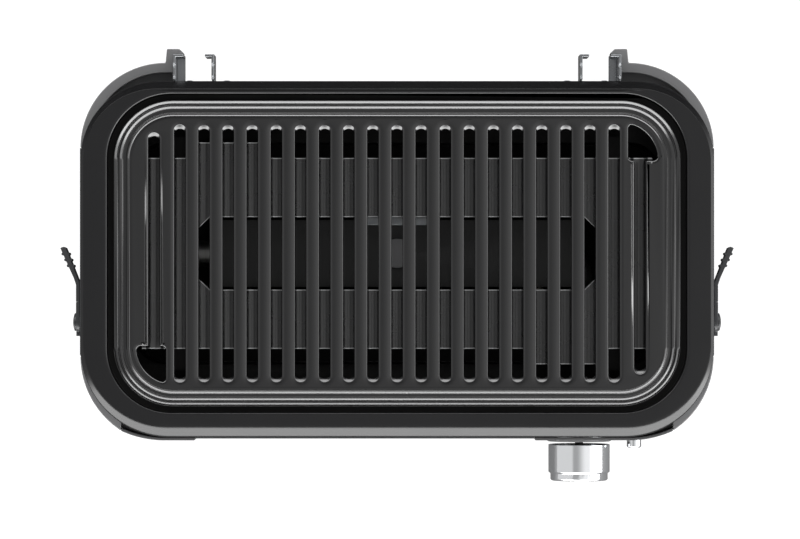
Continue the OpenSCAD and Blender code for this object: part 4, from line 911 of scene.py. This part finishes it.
# The legs' plastic in a darker grey, so that the corners read as two pieces
fascia_plastic = finish("moulded_fascia", "#4a4a4b", "#505051", (0.42, 0.5), 0.6, 0.006)
eased("front_left_fascia", "left_band", fascia_plastic, "body", "fascia_plastic", 0.5)
eased("control_panel", "control_band", fascia_plastic, "body", "fascia_plastic", 0.5)
eased("knob_bezel", "raised_bezel", fascia_plastic, "body", "bezel_plastic", 0.8)


# Knob: a chrome plated shell, hollow behind, round a black insert that grips the valve's stem. The
# igniter button is a chrome plunger with a rounded edge.

# Chrome plate: mirrors the window and the dark room behind it in clear bands
chrome = finish("chrome_plate", "#e9eaec", "#e1e3e5", (0.08, 0.12), 1.5, 0.001, metallic=1.0)
# Insert's plastic: dull black, seen only in the gap behind the knob
knob_plastic = finish("knob_insert", "#141415", "#1b1b1c", (0.5, 0.6), 0.6, 0.02)
eased("knob", "chrome_knob", chrome, "knob", "chrome", 0.5)
eased("igniter_button", "chrome_button", chrome, "igniter_button", "chrome", 1.2)
dress(knob_plastic, "knob_insert", "valve_stem")


# Latches: a strap pressed from steel sheet at each end, which turns on a domed screw and has a
# moulded, ribbed finger grip on its tongue.

# Powder coat on the straps: dark and dull against the pale table
latch_coat = finish("latch_powder_coat", "#2b2c2e", "#333436", (0.35, 0.45), 0.7, 0.01)
# Grip's plastic: a shade darker than the strap, its ribs drawn by thin shadows
grip_plastic = finish("latch_grip", "#252628", "#2d2e30", (0.45, 0.55), 0.6, 0.02)
for side in ("left", "right"):
    body = side + "_latch"
    eased(f"{side}_latch_strap", f"{side}_strap", latch_coat, body, "latch_coat", 0.4)
    eased(f"{side}_latch_grip", f"{side}_finger_grip", grip_plastic, body, "grip_plastic", 0.35)
    eased(f"{side}_latch_pivot", f"{side}_domed_screw", latch_coat, "body", "pivot_steel", 0.3)
dress(screw_steel, "left_latch_washer", "right_latch_washer")


# Drip drawer: a tray pressed from aluminised steel, with a moulded front. It slides in two bent
# channels that are fixed under the bottom pan.

# Aluminised sheet: pale and slightly cloudy, bright when the drawer is pulled
tray_steel = finish(
    "tray_aluminised_steel", "#a9abac", "#919394", (0.3, 0.45), 1.0, 0.01, metallic=1.0, patch=20
)
dress(tray_steel, "drip_tray")
dress(zinc, "left_runner", "right_runner")
eased("drawer_front", "drawer_face", panel_plastic, "drawer", "panel_plastic", 0.6)
